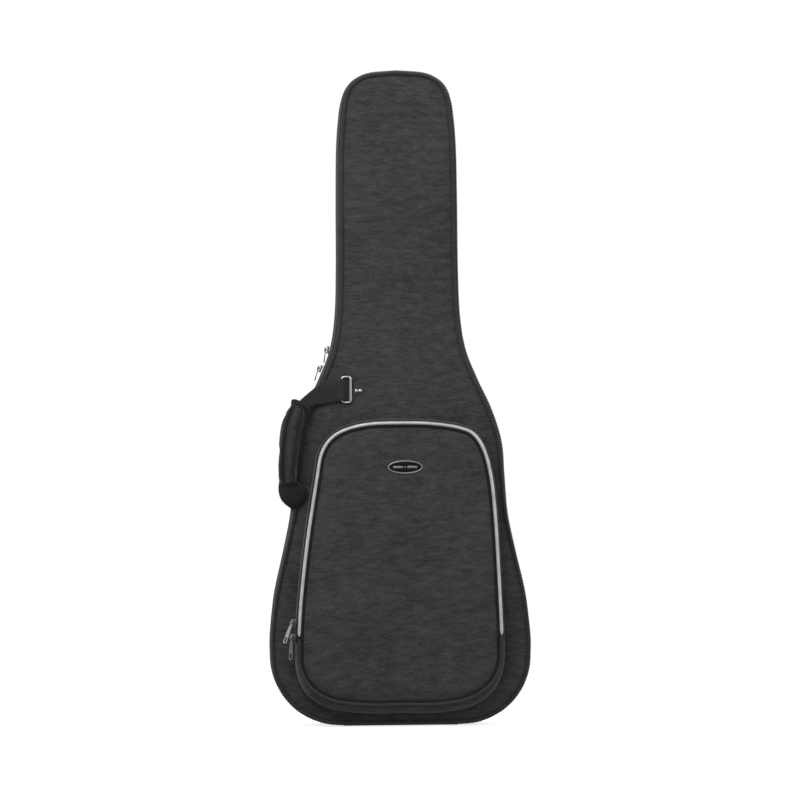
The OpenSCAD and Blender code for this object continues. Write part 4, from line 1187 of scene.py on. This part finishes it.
class ShoulderStrap:
    """One strap, from the yoke through its pad and buckle to the tab at the lower corner."""

    def __init__(self, side, sign):
        self.side, self.sign = side, sign
        lean = sign * math.sin(STRAP_LEAN)
        self.down = np.array([lean, 0.0, -math.cos(STRAP_LEAN)])
        self.across = np.array([math.cos(STRAP_LEAN), 0.0, lean])
        self.top = np.array([sign * STRAP_X, 0.0, STRAP_TOP])
        self.foot = np.array([sign * FOOT_X, 0.0, FOOT_Z])
        self.start = self.below(0, 0, -26.0)
        self.way = unit(self.foot - self.below(0, 0, -33.0))
        across = np.cross(self.way, BACK_NORMAL)
        self.low_across = across * np.sign(across[0])
        self.cushion()
        self.buckle()
        self.adjuster()
        self.foot_tab()

    def below(self, x, y, z):
        """A place by the pad's lower end: x across, y the depth, z up the strap."""
        return x * self.across + [0.0, y, 0.0] - z * self.down + self.top + PAD_LEN * self.down

    def along(self, s, y, sway=0.0):
        """A place on the lower webbing, s beyond the buckle."""
        p = self.start + self.way * s + [sway, 0, 0]
        p[1] = y
        return p

    def cushion(self):
        """The padded strap: a bowed cushion with corded edges, and webbing sewn along its face."""
        name, across = f"shoulder_pad_{self.side}", self.across
        bow = 24.0 * np.sin(np.pi * STEPS) * (1 - 0.15 * STEPS)
        centre = self.top + STEPS[:, None] * PAD_LEN * self.down
        centre[:, 1] = 57.0 + PAD_T / 2 + bow
        out = np.cross(unit(np.gradient(centre, axis=0)), across)
        out *= np.sign(out[:, 1:2])
        end = np.sqrt(np.clip(np.minimum(STEPS, 1 - STEPS) / 0.02, 0, 1))
        half_w = PAD_W / 2 * (1 - 0.42 * flat_step(0.86, 1.0, STEPS)) * (0.93 + 0.07 * end)
        thin = flat_step(0.0, 0.07, STEPS) * (1 - flat_step(0.90, 1.0, STEPS) * 0.8)
        half_t = PAD_T / 2 * (0.30 + 0.70 * thin) * (0.75 + 0.25 * end)
        half_t = half_t * (1 + 0.05 * wobble(centre[:, [0, 2]], 40, 12.0 + self.sign))
        c, s = circle(N_PAD)
        rings = (centre[:, None] + (half_w[:, None] * squarish(c, 0.62))[..., None] * across
                 + (half_t[:, None] * squarish(s, 0.86))[..., None] * out[:, None])
        pad = built(f"{name}_cushion", [rings], "strap_padding", sharp=60)
        row, column = np.divmod(np.arange(len(rings) * N_PAD), N_PAD)
        edge = np.isin(column, (0, 1, N_PAD - 1, HALF - 1, HALF, HALF + 1))
        puff(pad, edge | (row < 4) | (row > len(rings) - 5), 4.0, 1.3, 0.01)
        declared(pad, "strap_padding", REAR, name, fill=0.75)

        skin = coords(pad.data).reshape(len(rings), N_PAD, 3) / MM
        outward = unit(skin - centre[:, None])
        cords = []
        for k in (0, HALF):
            q = skin[2:-2, k] + outward[2:-2, k] * 0.9
            r = 1.75 + 0.1 * wobble(q[:, [0, 2]], 13, 3.3)
            r[[0, -1]] *= 0.5
            cords.append(tube(q, r, 10))
        piece(f"{name}_piping", cords, "dark_piping", REAR)

        out = out[3:-1]
        face = skin[3:-1, QUARTER] + out * 0.9
        lead = [face[-1] + self.down * s + [0, dy, 0] for s, dy in LEAD]
        strip = ribbon([*face, *lead], across, band(STRAP_W, 1.5, 9, 0.13))
        piece(f"{name}_webbing", [strip], "webbing", REAR, sharp=60)
        seams = []
        for dx in (-10.2, 10.2):
            seams += stitches(face + across * dx + out * 0.8, out, 2.8, 1.4, 0.3)
        for i in (3, 22, 42, 58):
            a, b = (face[min(j, len(face) - 1)] + out[i] * 0.95 for j in (i, i + 4))
            ax, bx = (a - across * 10, a + across * 10), (b - across * 10, b + across * 10)
            for leg in ((ax[0], bx[1]), (ax[1], bx[0]), ax, bx):
                seams += stitches(leg, out[i], 2.4, 1.1, 0.3)
        for k in (2, HALF - 2, N_PAD - 2, HALF + 2):
            seams += stitches(skin[4:-4, k] + outward[4:-4, k] * 0.1, outward[4:-4, k], 2.8, 1.5, 0.3)
        sewing(f"{name}_stitching", seams, REAR)

    def buckle(self):
        """The ladder lock: two rails and four bars, the lowest bar turned up for the thumb."""
        parts = []
        for x in (-15.1, 15.1):
            points, faces = block((3.9, 4.4, LOCK_LEN), 1.4, 4, (x, LOCK_Y + 2.5, -LOCK_LEN / 2 - 1))
            points[:, 1] += 0.9 * np.sin((points[:, 2] + 1) / LOCK_LEN * math.pi)
            parts.append((points, faces))
        for z, tall, thick, lift, bow in BARS:
            points, faces = block((LOCK_W - 4, thick, tall), 1.2, 4, (0.0, LOCK_Y + lift, z))
            points[:, 1] += bow * np.cos(points[:, 0] / LOCK_W * math.pi)
            parts.append((points, faces))
        parts = [(np.array([self.below(*p) for p in points]), faces) for points, faces in parts]
        name = f"ladder_lock_{self.side}"
        piece(f"{name}_buckle", parts, "moulded_plastic", REAR, name, sharp=35)

    def adjuster(self):
        """The lower webbing: up through the buckle, round its middle bar and back as a loose tail."""
        name = f"strap_webbing_{self.side}"
        length = float(np.linalg.norm(self.foot - self.start))
        tab_y = back_surface(self.sign * (FOOT_X - 2), FOOT_Z)
        run = [self.along(*place) for place in (
            (length - 4, tab_y + 4.4), (length - 22, tab_y + 5.2), (length * 0.72, 61.9, 0.6),
            (length * 0.45, 62.4, -0.5), (length * 0.22, 61.6))]
        threaded = [self.below(0, y, z) for y, z in THREADED]
        returned = [threaded[-1], *(self.below(0, y, z) for y, z in RETURN)]
        tail = [self.along(*place) for place in TAIL]

        def lay(part, knots, per, turn_over, *nodes):
            """One stretch, which turns from the pad's direction to the foot's over so many millimetres."""
            line = smooth(knots, per)
            share = np.clip((self.start[2] - line[:, 2]) / turn_over, 0, 1)[:, None] if turn_over else 0.0
            width = unit(self.low_across * share + self.across * (1 - share))
            piece(f"{name}_{part}", [ribbon(line, width, WEBBING)], "webbing", REAR, *nodes, sharp=60)

        lay("run", run + threaded[:3], 7, 60, name)
        lay("wrap", threaded[2:], 6, 0)
        lay("tail", returned + tail, 6, 40)
        strap(f"{name}_hem", [self.along(*place) for place in TAIL_HEM], 5, self.low_across,
              band(STRAP_W, 1.6, 9, 0.13), REAR)

    def foot_tab(self):
        """The tab at the lower corner, folded over the webbing's end and sewn with a crossed box."""
        way, foot, across = self.way, self.foot, self.low_across
        lean = math.atan2(way[0], -way[2])
        turn = np.array([(math.cos(lean), math.sin(lean)), (-math.sin(lean), math.cos(lean))])
        outline = np.array(FOOT_TAB) @ turn + foot[[0, 2]]

        def height(x, z):
            dx, dz = x - foot[0], z - foot[2]
            up, aside = -(dx * way[0] + dz * way[2]), abs(dx * way[2] - dz * way[0])
            return 2.0 + 3.6 * flat_step(-14, 14, up) * (1 - flat_step(11.5, 16.5, aside) * 0.75)

        name = f"strap_tab_{self.side}"
        patch(f"{name}_cloth", outline, height, 0.3, name, step=3.0)
        seams = sewn_line(outline, 2.6, height)
        a, b, c, d = (-12, -8), (12, -8), (12, 14), (-12, 14)
        for leg in ((a, c), (b, d), (a, b), (d, c), (a, d), (b, c)):
            ends = [(foot + x * across - z * way)[[0, 2]] for x, z in leg]
            seams += sewn_line(ends, 0.0, height, closed=False)
        for s in (87, 93):
            across_tail = [self.along(s, 69.6 + (s - 84) * 0.02) + across * x for x in (-10, 10)]
            seams += stitches(across_tail, BACK_NORMAL, 2.4, 1.0, 0.3)
        sewing(f"{name}_stitching", seams, REAR, "thread_pale")


ShoulderStrap("left", -1)
ShoulderStrap("right", 1)

# ---------------------------------------------------------------- hanging loop
HANG_Z = 1008.0
hang_y = back_surface(0, HANG_Z)
bend = [(0, hang_y + 1.0 + 15.0 * math.cos(b), HANG_Z - 1.5 + 15.6 * math.sin(b) - 2.0 * math.cos(b) ** 2)
        for b in np.radians(np.linspace(72, -72, 9))]
sewn_ends = [[(0, hang_y + dy, HANG_Z + dz) for dy, dz in places] for places in (
    ((0.9, 30), (0.9, 22), (1.6, 16.4)), ((1.6, -18.6), (0.9, -24), (0.9, -32)))]
strap("hanging_loop_webbing", sewn_ends[0] + bend + sewn_ends[1], 5, (1, 0, 0), band(STRAP_W, 2.0, 9, 0.15),
      REAR, "hanging_loop")
seams = []
for low, high in ((20.5, 28.5), (-30.5, -22.5)):
    corners = [(x, hang_y + 1.95, HANG_Z + z) for x, z in ((-10, low), (10, low), (10, high), (-10, high))]
    seams += box_stitches(corners, BACK_NORMAL, 2.2, 1.0, 0.3)
sewing("hanging_loop_stitching", seams, REAR, "thread_pale")

# ---------------------------------------------------------------- inside: linings, neck support and pin pad
lining_edge = resample(CASE.inset(18.6), 6.0)
for side, sign, body in (("back", 1, REAR), ("front", -1, LID)):
    def lining_face(points, sign=sign):
        """The plush turns up into the walls at its edge and lies a little unevenly between."""
        d = distance_to(points, lining_edge)
        uneven = 0.7 * wobble(points, 55, 6.0 + sign) * np.clip(d / 20, 0, 1)
        return sign * (34.6 - 1.1 * (1 - np.exp(-d / 5.0)) - uneven)

    lining = pad_sheet(f"{side}_lining_sheet", lining_edge, 11.0, lining_face, sign * 35.9, "plush")
    declared(lining, "plush", body, f"{side}_lining", fill=0.5)

CRADLE_Z, CRADLE_TOP = 728.0, 794.0
CRADLE = ((66, 15, 7, 0, -90), (37, 16, 8, -90, -180), (21, 14, 8, 0, 90), (-21, 14, 8, 90, 180),
          (-37, 16, 8, 0, -90), (-66, 15, 7, -90, -180), (-70, 31, 3, 180, 90), (70, 31, 3, 90, 0))
CRADLE_EDGE = ((9, 0.2), (4, 0.2), (1.6, 1.2), (0.4, 3.5), (-0.1, 8))
belly = [(-0.5 * math.sin(math.pi * k / 8) - 0.1, CRADLE_Z + 8 + 50 * k / 8) for k in range(1, 8)]
cradle_profile = ([(d, CRADLE_Z + z) for d, z in CRADLE_EDGE] + belly
                  + [(d, CRADLE_TOP - z) for d, z in CRADLE_EDGE[::-1]])
cradle_line = Outline(resample(np.vstack([arc(*corner, 6) for corner in CRADLE])[::-1], 2.4))
cradle = cradle_line.rings(cradle_profile).transpose(1, 0, 2)[..., [0, 2, 1]]
piece("neck_cradle_block", [cradle], "plush", REAR, "neck_cradle", fill=0.9, sharp=60)

NECK_Z = 761.0
NECK = ((-56, 7.2), (-53, 6.6), (-50, 5.2), (-46.5, 3.6), (-42, 2.8), (-30, 2.6), (-10, 2.4), (10, 2.4),
        (30, 2.6), (42, 2.8), (47, 3.1))
neck_strap = strap("neck_strap_webbing", [(x, y, NECK_Z) for x, y in NECK], 7, (0, 0, 1),
                   band(38.0, 1.9, 13, 0.14), None, "neck_strap_base", "neck_strap")
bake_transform(neck_strap)


def hook_patch(name, x0, x1, half, y, way, body):
    """A hook-and-loop patch: a thin rounded rectangle with a sewn edge."""
    line = Outline(rounded_loop(x0, x1, NECK_Z - half, NECK_Z + half, 2.5))
    levels = ((0.3, -0.4), (0.0, -0.1), (0.0, 0.5), (0.7, 0.9), (4.0, 0.95))
    piece(name, [[at_depth(line.inset(d), y + way * h) for d, h in levels]], "zip_tape", body)


hook_patch("neck_strap_hooks", 24, 45, 16, 3.7, 1, "neck_strap")
hook_patch("neck_cradle_loops", 33, 58, 17, 8.0, -1, REAR)

PIN_Z = 21.8
PIN_STEPS = ((25.4, 0.0), (26.0, 0.3), (26.0, 1.5), (25.2, 2.2), (22.4, 2.2), (21.8, 1.6), (18.6, 1.6),
             (18.0, 2.2), (14.2, 2.2), (13.6, 1.6), (9.4, 1.6), (8.8, 2.2), (6.0, 2.2), (5.2, 1.2), (2.0, 1.1))
disc = [oval(0, 0, r, r, PIN_Z + h, 64)[:, [0, 2, 1]] for r, h in PIN_STEPS]
piece("strap_pin_pad_disc", [disc], "moulded_plastic", REAR, "strap_pin_pad", mat="rubber")

# ---------------------------------------------------------------- floor
# a small pale table top that ends at the bag's front edge, so that the lid can fold down in front of it
FLOOR_HALF_M, FLOOR_FRONT_M, FLOOR_BACK_M, FLOOR_Z_M = 0.42, -0.053, 0.24, -0.0005
floor_mesh = bpy.data.meshes.new("floor")
floor_corners = [(x, y, FLOOR_Z_M) for x, y in (
    (-FLOOR_HALF_M, FLOOR_FRONT_M), (FLOOR_HALF_M, FLOOR_FRONT_M), (FLOOR_HALF_M, FLOOR_BACK_M),
    (-FLOOR_HALF_M, FLOOR_BACK_M))]
floor_mesh.from_pydata(floor_corners, [], [(0, 1, 2, 3)])
floor_mesh.materials.append(MATS["floor"])
floor = bpy.data.objects.new("floor", floor_mesh)
scene.collection.objects.link(floor)
floor.visible_diffuse = floor.visible_glossy = False
